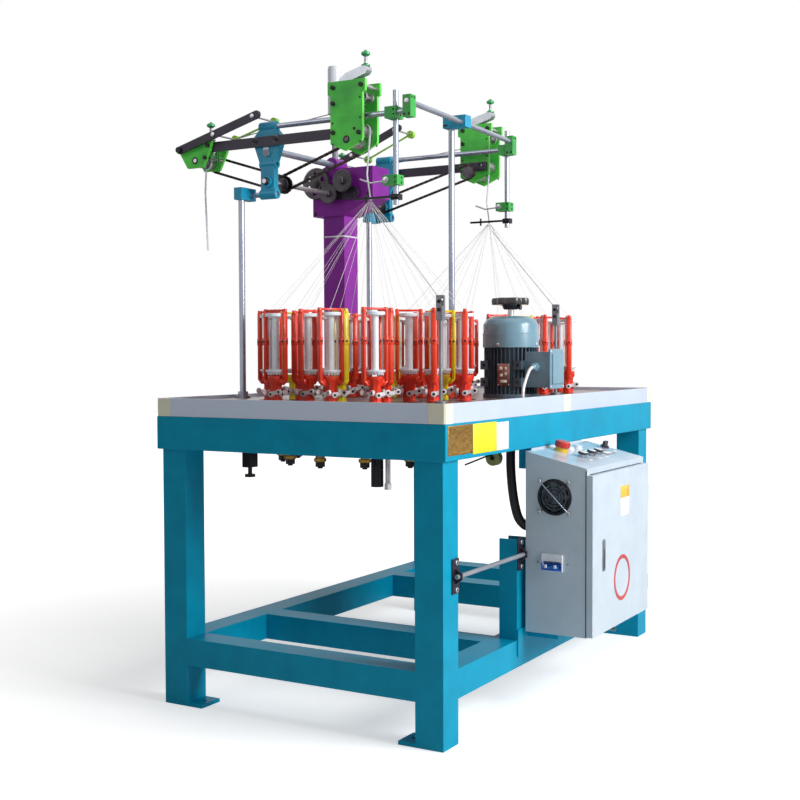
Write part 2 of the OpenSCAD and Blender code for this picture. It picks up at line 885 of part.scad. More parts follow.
// Cast bracket at a station: tube barrels along X, a flange for the flat bar, a bearing for the line shaft
module arm_bracket(s) {
  x = line_x[s];
  y = arms[s];
  w = bracket_w / 2;
  difference() {
    union() {
      slab_y(y + 11, 22)
        polygon([
          [x - w, rod_low_z - 8],
          [x + w, rod_low_z - 8],
          [x + w - 5, rod_low_z + 18],
          [x + w - 5, stay_z - 40],
          [x + w, stay_z - 26],
          [x + 46, bar_z - bar_h / 2],
          [x + 50, bar_z + bar_h / 2],
          [x + w, rod_z - 8],
          [x + w, rod_z + 8],
          [x - w, rod_z + 8],
          [x - w, rod_z - 8],
          [x - 50, bar_z + bar_h / 2],
          [x - 46, bar_z - bar_h / 2],
          [x - w, stay_z - 26],
          [x - w + 5, stay_z - 40],
          [x - w + 5, rod_low_z + 18]
        ]);
      for (z = [rod_low_z, rod_z])
        x_pin([x - w, y, z], 2 * w, rod_d + 14);
      x_pin([x - w, y, stay_z - 32], 2 * w, 26);
      y_shaft([x, line_z], y - 19, y + 19, line_d + 20);
      y_shaft([column_x, stay_rod_z], y, y - outward[s] * 26, stay_d + 14);
    }
    for (z = [rod_low_z, rod_z])
      x_pin([x - w - 1, y, z], 2 * w + 2, rod_d);
    x_pin([x - w - 1, y, stay_z - 32], 2 * w + 2, 12);
    y_shaft([x, line_z], y - 30, y + 30, line_d + 2 * run_fit);
    y_shaft([column_x, stay_rod_z], y - 60, y + 60, stay_d);
  }
}

module arm_brackets() {
  color("steelblue")
    for (s = [0, 1])
      arm_bracket(s);
}

// Flat bars bolted to the outer faces of the brackets
bar_y = [arm_front - 11 - bar_t, arm_rear + 11];
module flat_bars() {
  color("black") {
    for (s = [0, 1])
      difference() {
        block(
          [end_x[s] - 48, bar_y[s], bar_z - bar_h / 2],
          [tall_x[s] + tall_w / 2 - 6, bar_y[s] + bar_t, bar_z + bar_h / 2]
        );
        y_shaft([tall_x[s], tall_shaft_z], bar_y[s] - 1, bar_y[s] + bar_t + 1, roller_shaft_d + 12);
        y_shaft([tall_x[s] + nip_dx, tall_shaft_z + nip_dz], bar_y[s] - 1, bar_y[s] + bar_t + 1, roller_shaft_d);
      }
    for (s = [0, 1], dx = [-38, 38])
      y_shaft([line_x[s] + dx, bar_z + 4], outward[s] < 0 ? bar_y[s] - 6 : bar_y[s] + bar_t, outward[s] < 0 ? bar_y[s] : bar_y[s] + bar_t + 6, 15);
  }
}

module split_clamp(c, size) {
  difference() {
    translate(c - size / 2)
      cube(size);
    children();
    for (dz = [-7, 7])
      translate([c[0] + size[0] / 2 - 7, c[1] - size[1] / 2 - 1, c[2] + dz])
        rotate([-90, 0, 0])
          cylinder(h = 7, d = 6, $fn = 20);
  }
}

module clamp_blocks() {
  color("green")
    for (s = [0, 1]) {
      split_clamp([guide_x[s], arms[s] + 10, rod_z], [36, 46, 32]) {
        arm_tube(s, rod_d);
        guide_rod(s, guide_d);
      }
      split_clamp([guide_x[s] - 6, arms[s] + 14, low_clamp_z], [48, 38, 28])
        guide_rod(s, guide_d);
      difference() {
        block(
          [tall_block_x[s] - 13, arms[s] - 15, rod_z - 18],
          [tall_block_x[s] + 13, arms[s] + 15, cross_tube_z + 18]
        );
        arm_tube(s, rod_d);
        cross_tube(rod_d);
      }
    }
  color("steelblue") {
    for (s = [0, 1])
      difference() {
        block(
          [post_left_x[s] - 14, post_left_y[s] - 18, rod_low_z - 16],
          [post_left_x[s] + 14, arms[s] + 18, rod_low_z + 20]
        );
        low_rod(s, rod_d);
        pin([post_left_x[s], post_left_y[s], rod_low_z - 30], 48, upright_d);
      }
    difference() {
      block([right_post[0] - 20, right_post[1] - 19, cross_tube_z - 14], [cross_mid[0] + 16, right_post[1] + 19, cross_tube_z + 22]);
      cross_tube(rod_d);
      pin([right_post[0], right_post[1], cross_tube_z - 40], 54, upright_d);
    }
  }
}

// Forming bars under the guide rods and the wire fingers on the lower clamps
module forming_guides() {
  for (s = [0, 1]) {
    z = guide_bottom + 22;
    x = guide_x[s];
    y = guide_y[s];
    color("black") {
      difference() {
        block([x - 130, y - 16, z - 3], [x + 14, y - 8 - gap, z + 3]);
        pin([x - 60, y - 12, z - 5], 10, 4, 20);
      }
      difference() {
        block([x - 13, y - 8 - gap, z - 8], [x + 13, y + 14, z + 8]);
        guide_rod(s, guide_d);
      }
      pin([x - 92, y - 12, z - 12], 24, 6, 20);
    }
    color("silver") {
      tube(
        [
          [x - 31, arms[s] + 12, low_clamp_z],
          [x - 74, arms[s] + 4, low_clamp_z - 4],
          [x - 104, arms[s] - 6, low_clamp_z + 8]
        ],
        5
      );
    }
  }
}

tall_x = [-38, -34];
tall_y = [bar_y[0] - plate_t, bar_y[1] + bar_t];
frame_d = 2 * plate_t + plate_gap;
tall_shaft_z = 1590;
tall_top = tall_shaft_z + tall_rise;
tall_bottom = tall_shaft_z - tall_drop;
nip_dx = 26;
nip_dz = sqrt(pow(2 * roller_r + gap, 2) - pow(nip_dx, 2));
end_x = [-588, -560];
end_shaft_z = 1574;
end_y = [bar_y[0] - plate_t, bar_y[1] - plate_gap - 2 * plate_t];

// Side plate of a tall take-up unit, seen from the front
module tall_outline(x) {
  w = tall_w / 2;
  polygon([
    [x - w, tall_bottom + 22],
    [x - 6, tall_bottom],
    [x + w - 2, tall_bottom + 26],
    [x + w, tall_bottom + 34],
    [x + w, tall_top - 38],
    [x + w + 9, tall_top - 34],
    [x + w + 9, tall_top],
    [x - w - 9, tall_top],
    [x - w - 9, tall_top - 36],
    [x - w, tall_top - 40]
  ]);
}

// Tall take-up frame: two side plates, round spacers, an upper spool and a lever post
module tall_frame(s) {
  x = tall_x[s];
  y = tall_y[s];
  w = tall_w / 2;
  spacers = [[x - w + 10, tall_top - 17], [x + w - 4, tall_top - 17], [x - w + 10, tall_top - 62], [x - w + 10, tall_bottom + 54]];
  color("limegreen")
    difference() {
      for (p = [y, y + plate_t + plate_gap])
        slab_y(p + plate_t, plate_t)
          tall_outline(x);
      y_shaft([x, tall_shaft_z], y - 1, y + frame_d + 1, roller_shaft_d + 2 * run_fit);
      y_shaft([x + nip_dx, tall_shaft_z + nip_dz], y - 1, y + frame_d + 1, roller_shaft_d - 4 + 2 * run_fit);
    }
  color("black")
    for (p = spacers) {
      face = s == 1 && p[1] < tall_bottom + 60 ? y - bar_t : y;
      y_shaft(p, face - 6, face, 13);
    }
  color("gainsboro") {
    for (p = spacers)
      y_shaft(p, s == 0 && p[1] < tall_bottom + 60 ? y + plate_t + bar_t : y + plate_t, y + plate_t + plate_gap, 11);
    y_shaft([x + w - 16, tall_top - 44], y + plate_t, y + plate_t + plate_gap, 12);
    for (g = [14, plate_gap - 20])
      y_shaft([x + w - 16, tall_top - 44], y + plate_t + g, y + plate_t + g + 6, 30);
  }
}

// Fluted take-up roller between two side planes
module fluted_roller(p, y0, y1, r = roller_r, n = 24) {
  translate([p[0], y1, p[1]])
    rotate([90, 0, 0])
      linear_extrude(y1 - y0)
        polygon([
          for (k = [0 : n - 1], q = [[-1.6, -0.3], [0, -0.16], [0, 0.16], [-1.6, 0.3]])
            [(r + q[0]) * cos((k + q[1]) * 360 / n), (r + q[0]) * sin((k + q[1]) * 360 / n)]
        ]);
}

module tall_rollers(s) {
  x = tall_x[s];
  y = tall_y[s];
  y0 = y + plate_t + (s == 0 ? bar_t : 0) + 2;
  y1 = y + plate_t + plate_gap - 2;
  p = [x, tall_shaft_z];
  row = s == 0 ? arm_front + row_top : arm_rear - row_rear_top;
  color("silver") {
    fluted_roller(p, y0, y1);
    y_shaft(p, s == 0 ? y + 1 : row - 6, s == 0 ? row + 6 : y + frame_d - 1, roller_shaft_d);
  }
  color("dimgray") {
    sprocket(p, row);
    y_shaft(p, row - 4, row + 4, 28);
  }
}

module nip_roller(s) {
  x = tall_x[s];
  y = tall_y[s];
  y0 = y + plate_t + (s == 0 ? bar_t : 0) + 2;
  y1 = y + plate_t + plate_gap - 2;
  p = [x + nip_dx, tall_shaft_z + nip_dz];
  color("gainsboro") {
    fluted_roller(p, y0, y1, roller_r - 1.2);
    y_shaft(p, y + 1, y + frame_d - 1, roller_shaft_d - 4);
  }
}

// Coil spring: one tube along a helix, its ends turned square to the faces they meet
spring_r = 4.6;
spring_d = 1.6;
spring_h = 16;
spring_turns = 5;
spring_steps = 8;
spring_n = spring_turns * spring_steps;

function spring_point(i) = let(a = 360 * i / spring_steps) [spring_r * cos(a), spring_r * sin(a), spring_h * i / spring_n];

spring_gap = min([
  for (i = [0 : spring_n], j = [i + spring_steps / 2 : spring_n])
    norm(spring_point(i) - spring_point(j)) - spring_d
]);
echo(least_gap_of_spring_mm = spring_gap);

module coil(sides = 6) {
  rings = concat([-1], [for (i = [0 : spring_n]) i], [spring_n + 1]);
  pts = [
    for (i = rings, k = [0 : sides - 1])
      let(
        j = min(max(i, 0), spring_n),
        a = 360 * j / spring_steps,
        q = 360 * k / sides,
        out = [cos(a), sin(a), 0],
        back = [sin(a), -cos(a), 0],
        side = i != j ? back : j == 0 || j == spring_n ? back + [0, 0, 1] : [0, 0, 1]
      )
        spring_point(j) + [0, 0, (i - j) * spring_d] + spring_d / 2 * (out * cos(q) + side * sin(q))
  ];
  last = (len(rings) - 1) * sides;
  faces = [
    for (i = [0 : len(rings) - 2], k = [0 : sides - 1], f = [0, 1])
      let(a = i * sides + k, b = i * sides + (k + 1) % sides)
        f == 0 ? [a, b, b + sides] : [a, b + sides, a + sides]
  ];
  start = [for (k = [1 : sides - 2]) [0, k + 1, k]];
  end = [for (k = [1 : sides - 2]) [last, last + k, last + k + 1]];
  polyhedron(points = pts, faces = concat(faces, start, end), convexity = 6);
}

// Pressure lever of a take-up unit on its pivot p, with its screw, spring, cup and knob
module pressure_lever(p, y, pin_d, k = 1) {
  screw = [p[0] + 82 * k, y, p[1] + 60 * k + gap];
  color("lightgray")
    difference() {
      union() {
        slab_y(y + 13, 26)
          polygon([
            for (q = [[-8, -8], [10, -8], [34, 22], [88, 38], [95, 48], [93, 58], [88, 60], [72, 60], [20, 46], [-6, 26], [-11, 8]])
              [p[0] + q[0] * k, p[1] + q[1] * k]
          ]);
        y_shaft(p, y - plate_gap / 2 + bar_t + 2, y + plate_gap / 2 - gap, pin_d + 10);
      }
      y_shaft(p, y - plate_gap, y + plate_gap, pin_d + 2 * run_fit);
      translate([p[0] + 30 * k, y - 6, p[1] + 8 * k])
        cube([36 * k, 12, 60 * k]);
    }
  spring_z = 9 + gap + spring_d;
  knob_z = spring_z + spring_h + spring_d + gap;
  color("silver")
    translate(screw)
      cylinder(h = knob_z + 17, d = 5, $fn = 24);
  color("green")
    translate(screw)
      difference() {
        rotate_extrude($fn = 32)
          union() {
            polygon([[0, 0], [13, 0], [13, 4], [7, 4], [7, 9], [0, 9]]);
            translate([0, knob_z])
              polygon([[0, 0], [7, 0], [13, 4], [13, 10], [12, 10], [7, 14], [0, 14]]);
          }
        pin([0, 0, -1], 60, 5, 24);
      }
  color("dimgray")
    translate(screw + [0, 0, spring_z])
      coil();
}

tall_pivots = [for (s = [0, 1]) [tall_x[s] - tall_w / 2 + 10, tall_top - 17]];
end_pivots = [for (s = [0, 1]) [end_x[s] - 24, end_shaft_z + 38]];

// Side plate of an end take-up unit
module end_outline(x) {
  z = end_shaft_z;
  polygon([
    [x - 30, z - 22],
    [x + 30, z - 22],
    [x + 58, z + 30],
    [x + 64, z + 54],
    [x - 64, z + 42],
    [x - 60, z + 26]
  ]);
}

module end_frame(s) {
  x = end_x[s];
  y = end_y[s];
  z = end_shaft_z;
  pins = [[x - 50, z + 34], [x + 50, z + 42], [x + 40, z + 6]];
  color("limegreen")
    difference() {
      for (p = [y, y + plate_t + plate_gap])
        slab_y(p + plate_t, plate_t)
          end_outline(x);
      y_shaft([x, z], y - 1, y + frame_d + 1, roller_shaft_d + 2 * run_fit);
    }
  color("black")
    for (p = pins)
      y_shaft(p, y - 6, y, 12);
  color("gainsboro")
    for (p = concat(pins, [end_pivots[s]]))
      y_shaft(p, s == 0 ? y + plate_t + bar_t : y + plate_t, y + plate_t + plate_gap, 9);
  color("black") {
    y_shaft(pins[0], y - 16, y - 6, 12);
    y_shaft(pins[0], y - 22, y - 16, 18);
  }
}

module end_roller(s) {
  x = end_x[s];
  y = end_y[s];
  p = [x, end_shaft_z];
  row = s == 0 ? arm_front + row_end : arm_rear - row_rear_end;
  color("silver") {
    fluted_roller(p, y + plate_t + (s == 0 ? bar_t : 0) + 2, y + plate_t + plate_gap - 2);
    y_shaft(p, s == 0 ? y + 1 : row - 6, s == 0 ? row + 6 : y + frame_d - 1, roller_shaft_d);
  }
  color("dimgray") {
    sprocket(p, row);
    y_shaft(p, row - 4, row + 4, 28);
  }
}

// Swing arm: a flat lever on the end frame with two cross pins and grooved guide rollers
swing_len = [304, 370];
swing_angle = [15.3, 22.5];
swing_y = [end_y[0] - 8 - gap, end_y[1] - 8 - gap];

module swing_arm(s) {
  p = [end_x[s] - 50, end_shaft_z + 34];
  y = swing_y[s];
  reach = swing_len[s];
  translate([p[0], 0, p[1]])
    rotate([0, -swing_angle[s], 0]) {
      color("black")
        difference() {
          union() {
            block([0, y - 6, -12], [reach, y + 2, 12]);
            for (x = [0, reach])
              y_shaft([x, 0], y - 6, y + 2, 24);
          }
          y_shaft([0, 0], y - 10, y + 10, 12 + 2 * run_fit);
        }
      color("silver")
        for (x = [reach * 0.45, reach - 14])
          y_shaft([x, 0], y + 2, y + 130, 6);
      color("greenyellow")
        for (x = [reach * 0.45, reach - 14])
          translate([x, y + 106, 0])
            rotate([90, 0, 0])
              rotate_extrude($fn = 32)
                polygon([[3, -8], [13, -8], [9, 0], [13, 8], [3, 8]]);
    }
}

// Chain links stand at equal steps along the loop round two equal sprockets
function loop_point(s, l, r) =
  s < l ? [s, r, 0] :
  s < l + PI * r ? let(a = (s - l) / r * 180 / PI) [l + r * sin(a), r * cos(a), -a] :
  s < 2 * l + PI * r ? [2 * l + PI * r - s, -r, 180] :
  let(a = (s - 2 * l - PI * r) / r * 180 / PI) [-r * sin(a), -r * cos(a), 180 - a];

module chain(p, q, y) {
  v = q - p;
  l = norm(v);
  total = 2 * l + 2 * PI * sprocket_r;
  n = 2 * floor(total / chain_pitch / 2);
  step = total / n;
  translate([p[0], y, p[1]])
    rotate([0, -atan2(v[1], v[0]), 0])
      for (k = [0 : n - 1]) {
        c = loop_point(k * step, l, sprocket_r);
        w = k % 2 == 0 ? 7 : 5;
        translate([c[0], 0, c[1]])
          rotate([0, -c[2], 0])
            translate([-step / 2 + 0.2, -w / 2, -2.4])
              cube([step - 0.4, w, 4.8]);
      }
}

module chains() {
  color("black") {
    chain([line_x[0], line_z], [tall_x[0], tall_shaft_z], arm_front + row_top);
    chain([end_x[0], end_shaft_z], [line_x[0], line_z], arm_front + row_end);
    chain([line_x[1], line_z], [tall_x[1], tall_shaft_z], arm_rear - row_rear_top);
    chain([end_x[1], end_shaft_z], [line_x[1], line_z], arm_rear - row_rear_end);
  }
}

// Braided ribbons: flat strips through the take-up units, with the free end hanging down
ribbon_w = 8;
ribbon_t = 1;
ribbon_y = [tall_y[0] + plate_t + plate_gap / 2 + 8, tall_y[1] + plate_t + 10];
ribbon_end_y = [for (s = [0, 1]) end_y[s] + plate_t + plate_gap / 2 + 8];

// Points round a roller, just clear of it
function wrap(c, y, r, a0, a1) = [for (i = [0 : 3]) let(a = a0 + (a1 - a0) * i / 3) [c[0] + r * cos(a), y, c[1] + r * sin(a)]];

function ribbon_route(s) = concat(
  [
    [braid_x[s], braid_y[s], braid_z + 4],
    [braid_x[s], braid_y[s], braid_z + 14],
    [tall_x[s] + 36, ribbon_y[s], low_clamp_z + 24]
  ],
  wrap([tall_x[s] + nip_dx, tall_shaft_z + nip_dz], ribbon_y[s], roller_r + 2.5, -10, 100),
  [
    [tall_x[s] - roller_r - 8, ribbon_y[s], rod_z + 28],
    [tall_x[s] - 380, s == 0 ? ribbon_y[s] : ribbon_y[s] - 12, rod_z - 12],
    [end_x[s] + 44, ribbon_end_y[s], end_shaft_z + 50]
  ],
  wrap([end_x[s], end_shaft_z], ribbon_end_y[s], roller_r + 3, 20, -90),
  [
    [end_x[s] - 4, ribbon_end_y[s], end_shaft_z - 90],
    [end_x[s] + 4, ribbon_end_y[s], end_shaft_z - 270]
  ]
);

// One strip along the route, its width lying along Y; it starts thick where the yarns meet
module ribbons() {
  color("white")
    for (s = [0, 1]) {
      route = ribbon_route(s);
      n = len(route);
      rings = [
        for (i = [0 : n - 1], k = [[-1, -1], [1, -1], [1, 1], [-1, 1]])
          let(
            t = route[min(i + 1, n - 1)] - route[max(i - 1, 0)],
            out = unit([-t[2], 0, t[0]]),
            half = i == 0 ? [fell_r + 0.5, fell_r / 2] : [ribbon_w / 2, ribbon_t / 2]
          )
            route[i] + [0, k[0] * half[0], 0] + k[1] * half[1] * out
      ];
      faces = [
        for (i = [0 : n - 2], k = [0 : 3], f = [0, 1])
          let(a = i * 4 + k, b = i * 4 + (k + 1) % 4)
            f == 0 ? [a, b + 4, b] : [a, a + 4, b + 4]
      ];
      last = 4 * n - 1;
      polyhedron(points = rings, faces = concat(faces, [[0, 1, 2, 3], [last, last - 1, last - 2, last - 3]]));
    }
}

fin_r = cowl_d / 2 - 3 - gap;

module motor_body() {
  fins = 40;
  z = bed_z;
  color("slategray")
    translate([motor_x, motor_y, z])
      difference() {
        union() {
          cylinder(h = 12, d = cowl_d, $fn = 64);
          pin([0, 0, 12], motor_h - 12, motor_d, 64);
          up(12)
            linear_extrude(motor_h - 12)
              for (k = [0 : fins - 1])
                spin(360 * (k + 0.5) / fins)
                  translate([motor_d / 2 - 1, -1.2])
                    square([fin_r - motor_d / 2 + 1, 2.4]);
          for (zz = [34, 84], x = [-64, 44])
            translate([x, -cowl_d / 2 + 7, zz])
              cube([24, 30, 26]);
          pin([0, 0, motor_h], 8, 60, 40);
        }
        pin([0, 0, -1], motor_h + 12, motor_shaft_d + 2 * run_fit);
      }
}

module motor_cowl() {
  z = bed_z + motor_h - 12;
  r = cowl_d / 2;
  color("lightslategray")
    translate([motor_x, motor_y, z])
      difference() {
        rotate_extrude($fn = 72)
          polygon([
            [r - 3, 0],
            [r + 0.5, 0],
            [r + 0.5, 40],
            [r - 1, 42],
            [r - 1, 68],
            [r - 8, 80],
            [r - 22, cowl_h - 2],
            [r - 30, cowl_h],
            [14, cowl_h],
            [14, cowl_h - 3],
            [r - 31, cowl_h - 3],
            [r - 24, cowl_h - 5],
            [r - 11, 78],
            [r - 4, 66]
          ]);
        for (k = [0 : 11], q = [26, 38])
          spin(30 * k)
            pin([q, 0, cowl_h - 8], 12, 7, 20);
      }
}

// Motor shaft with its cooling fan and the star hand wheel
module motor_rotor() {
  z = bed_z + motor_h;
  top = bed_z + motor_h - 12 + cowl_h;
  translate([motor_x, motor_y, 0]) {
    color("silver")
      pin([0, 0, band_top - 30], top + 50 - band_top + 30, motor_shaft_d);
    color("black") {
      pin([0, 0, z + 12], 30, 40);
      for (k = [0 : 6])
        spin(360 * k / 7)
          translate([18, -1.5, z + 14])
            cube([cowl_d / 2 - 30, 3, 24]);
      up(top + 21)
        rotate_extrude($fn = 40)
          polygon([[0, 0], [22, 0], [30, 18], [30, 22], [0, 22]]);
      up(top + 35)
        linear_extrude(20)
          union() {
            circle(d = wheel_d - 22, $fn = 64);
            for (k = [0 : 6])
              spin(360 * k / 7)
                translate([wheel_d / 2 - 13, 0])
                  circle(d = 26, $fn = 32);
          }
      x_pin([20, 0, top + 27], 14, 10);
    }
  }
}

box_x = [motor_x + motor_d / 2 - 4, motor_x + motor_d / 2 + 74];
box_y = [motor_y - 46, motor_y + 46];
box_z = [bed_z + 32, bed_z + 148];
gland = [box_x[0] + 36, box_y[0], box_z[0] + 60];

module terminal_box() {
  color("slategray") {
    difference() {
      block([box_x[0], box_y[0], box_z[0]], [box_x[1], box_y[1], box_z[1] - 12]);
      translate([motor_x, motor_y, box_z[0] - 1])
        cylinder(h = 140, r = fin_r + gap, $fn = 64);
    }
    block([box_x[1], box_y[0] - 4, box_z[0] - 4], [box_x[1] + 6, box_y[1] + 4, box_z[1] - 4]);
    block([box_x[1] + 6, box_y[0] + 6, box_z[0] + 10], [box_x[1] + 11, box_y[1] - 6, box_z[1] - 18]);
  }
  color("lightslategray")
    difference() {
      translate([gland[0], gland[1], gland[2]])
        rotate([90, 0, 0])
          cylinder(h = 16, d = 26, $fn = 6);
      translate([gland[0], gland[1], gland[2]])
        rotate([90, 0, 0])
          cylinder(h = 18, d = 11, $fn = 24);
    }
}

// A round tube swept along a list of points
function unit(v) = v / norm(v);
function tangent(p, i) = i == 0 ? unit(p[1] - p[0]) : i == len(p) - 1 ? unit(p[i] - p[i - 1]) : unit(unit(p[i + 1] - p[i]) + unit(p[i] - p[i - 1]));
function bend(a, b, c, d, t) = 0.5 * ((2 * b) + (c - a) * t + (2 * a - 5 * b + 4 * c - d) * t * t + (3 * b - a - 3 * c + d) * t * t * t);
function smooth(p, m) = [
  for (i = [0 : len(p) - 2], j = [0 : m - 1])
    bend(p[max(i - 1, 0)], p[i], p[i + 1], p[min(i + 2, len(p) - 1)], j / m),
  p[len(p) - 1]
];

module tube(points, d, sides = 8, ref = [0, 1, 0]) {
  n = len(points);
  rings = [
    for (i = [0 : n - 1], k = [0 : sides - 1])
      let(t = tangent(points, i), u = unit(cross(t, ref)), w = cross(t, u), a = 360 * k / sides)
        points[i] + d / 2 * (u * cos(a) + w * sin(a))
  ];
  sides_f = [
    for (i = [0 : n - 2], k = [0 : sides - 1], f = [0, 1])
      let(a = i * sides + k, b = i * sides + (k + 1) % sides)
        f == 0 ? [a, b + sides, b] : [a, a + sides, b + sides]
  ];
  caps = [[for (k = [0 : sides - 1]) k], [for (k = [sides - 1 : -1 : 0]) (n - 1) * sides + k]];
  polyhedron(points = rings, faces = concat(sides_f, caps), convexity = 6);
}

lead_route = [
  [398, -91.3, 942],
  [398, -102, 942],
  [398, -114, 941.6],
  [404, -150, 932],
  [413, -192, 908],
  [420, -224, 884],
  [421, -230, 866],
  [421, -230, 850.3]
];

module motor_lead() {
  color("white")
    tube(smooth(lead_route, 4), 9, 8, [1, 0, 0]);
}

hose_route = [
  [376, -210, 809.7],
  [376, -210, 780],
  [376, -214, 720],
  [382, -226, 650],
  [396, -240, 580],
  [414, -249, 525],
  [434, -250, 502],
  [446, -250, 500],
  [458.7, -250, 500]
];

module conduit_hose() {
  color("black")
    tube(smooth(hose_route, 3), 26, 10);
}

// Cabinet shell: folded sheet with a sloping control panel, open behind the door
cab_far = cab_y + cab_d;
cab_face = cab_x + cab_w;
cab_top = cab_z + cab_h;
door_top = cab_top - cab_drop - 18;
fan_x = cab_x + 86;
fan_z = cab_z + 377;
breaker_x = cab_x + 51;
breaker_w = 60;
breaker_z = cab_z + 175;
breaker_h = 46;
panel_tilt = atan(cab_drop / cab_w);

// Places its children on the control panel, u along the slope and y across it
module on_panel(u, y) {
  translate([cab_x, y, cab_top])
    rotate([0, panel_tilt, 0])
      translate([u, 0, 0])
        children();
}

stop_at = [42, cab_y + 152];
start_at = [106, cab_y + 155];
halt_at = [106, cab_y + 222];
jog_at = [106, cab_y + 275];
lamp_at = [[42, cab_y + 215], [42, cab_y + 275]];
selector_at = [76, cab_y + 405];
button_hole = 22;

module cabinet_profile(t) {
  face = t == 0 ? cab_face : cab_face + 1;
  polygon([
    [cab_x + t, cab_z + t],
    [face, cab_z + t],
    [face, cab_top - cab_drop - t],
    [cab_x + t, cab_top - t]
  ]);
}

hinge_z = [cab_z + 60, cab_z + 330];
hinge_pos = [cab_face + door_t - 4, cab_far + 5];

module cabinet_shell() {
  t = cab_wall;
  color("slategray") {
    difference() {
      union() {
        slab_y(cab_far, cab_d)
          cabinet_profile(0);
        for (z = hinge_z) {
          block([cab_face - 20, cab_far, z], [hinge_pos[0], cab_far + 2, z + 14]);
          block([cab_face - 20, cab_far, z + 30], [hinge_pos[0], cab_far + 2, z + 44]);
          for (dz = [0, 30])
            pin([hinge_pos[0], hinge_pos[1], z + dz], 14, 9, 24);
        }
      }
      slab_y(cab_far - t, cab_d - 2 * t)
        cabinet_profile(t);
      translate([fan_x, cab_y + t + 1, fan_z])
        rotate([90, 0, 0])
          cylinder(h = t + 2, d = fan_d, $fn = 64);
      block(
        [breaker_x - gap, cab_y - 1, breaker_z - gap],
        [breaker_x + breaker_w + gap, cab_y + t + 1, breaker_z + breaker_h + gap]
      );
      for (p = concat([stop_at, start_at, halt_at, jog_at, selector_at], lamp_at))
        on_panel(p[0], p[1])
          pin([0, 0, -10], 20, button_hole);
      x_pin([cab_x - 1, -250, 500], t + 2, 20);
      for (z = hinge_z, dz = [0, 30])
        pin([hinge_pos[0], hinge_pos[1], z + dz - 1], 16, 4, 20);
    }
    block([cab_face - t, cab_y + t, door_top + 2], [cab_face, cab_far - t, cab_top - cab_drop - t]);
    block([cab_face - t, cab_y + t, cab_z + t], [cab_face, cab_y + 20, door_top + 2]);
    block([cab_face - t, cab_far - 20, cab_z + t], [cab_face, cab_far - t, door_top + 2]);
  }
  color("teal") {
    block([leg_x, cab_y + 40, rail_z + rail_h], [cab_x + 80, cab_far - 40, cab_z]);
    block([table_w / 2 - 38, cab_y + 40, band_z - 58], [cab_x, cab_far - 40, band_z]);
  }
  hinge_pins();
}

module cabinet_door() {
  x = cab_face + gap;
  color("lightgray") {
    difference() {
      block([x, cab_y, cab_z + 2], [x + door_t, cab_far - gap, door_top]);
      block([x - 1, cab_y + 6, cab_z + 8], [x + door_t - 3, cab_far - 6, door_top - 6]);
      block([x + door_t - 4, cab_y + 79 - gap, cab_z + 171 - gap], [x + door_t + 1, cab_y + 91 + gap, cab_z + 259 + gap]);
    }
    for (z = hinge_z)
      difference() {
        union() {
          pin([hinge_pos[0], hinge_pos[1], z + 14 + gap], 16 - 2 * gap, 9, 24);
          block([x + 4, cab_far - 1, z + 14 + gap], [hinge_pos[0], cab_far + 5, z + 30 - gap]);
        }
        pin([hinge_pos[0], hinge_pos[1], z], 44, 4 + 2 * run_fit, 20);
      }
  }
  color("dimgray")
    block([x + door_t - 3, cab_y + 79, cab_z + 171], [x + door_t + 1.5, cab_y + 91, cab_z + 259]);
}

module hinge_pins() {
  color("silver")
    for (z = hinge_z)
      pin([hinge_pos[0], hinge_pos[1], z], 44, 4, 20);
}

// A push button body: its collar sits on the panel, its stem slides in the hole
module button(at, cap_d, cap_h, c) {
  on_panel(at[0], at[1]) {
    color(c)
      pin([0, 0, 8], cap_h, cap_d);
    color("dimgray")
      pin([0, 0, -24], 32, 12, 24);
  }
}

module collar(at, d, h, c) {
  on_panel(at[0], at[1])
    color(c)
      difference() {
        union() {
          pin([0, 0, gap], h, d, 40);
          pin([0, 0, -26], 27, button_hole - 2 * run_fit);
        }
        pin([0, 0, -27], 40, 12 + 2 * run_fit, 24);
      }
}

module panel_collars() {
  collar(stop_at, 40, 5, "yellow");
  for (p = [start_at, halt_at, jog_at])
    collar(p, 28, 3, "black");
  collar(selector_at, 29, 3, "black");
  for (p = lamp_at)
    on_panel(p[0], p[1]) {
      color("black")
        pin([0, 0, gap], 3, 28, 40);
      color("white")
        pin([0, 0, 3 + gap], 6, 22);
      color("dimgray")
        pin([0, 0, -26], 27, button_hole - 2 * run_fit);
    }
}

module emergency_stop() {
  on_panel(stop_at[0], stop_at[1]) {
    color("red")
      up(12)
        rotate_extrude($fn = 48)
          polygon([[0, 0], [18, 0], [20, 4], [20, 12], [18, 15], [12, 17], [0, 17]]);
    color("dimgray")
      pin([0, 0, -24], 36, 12, 24);
  }
}

module selector_knob() {
  on_panel(selector_at[0], selector_at[1]) {
    color("black") {
      pin([0, 0, 3 + 2 * gap], 6, 26);
      translate([-4, -13, 3 + 2 * gap])
        cube([8, 26, 19]);
    }
    color("dimgray")
      pin([0, 0, -24], 28, 12, 24);
  }
}

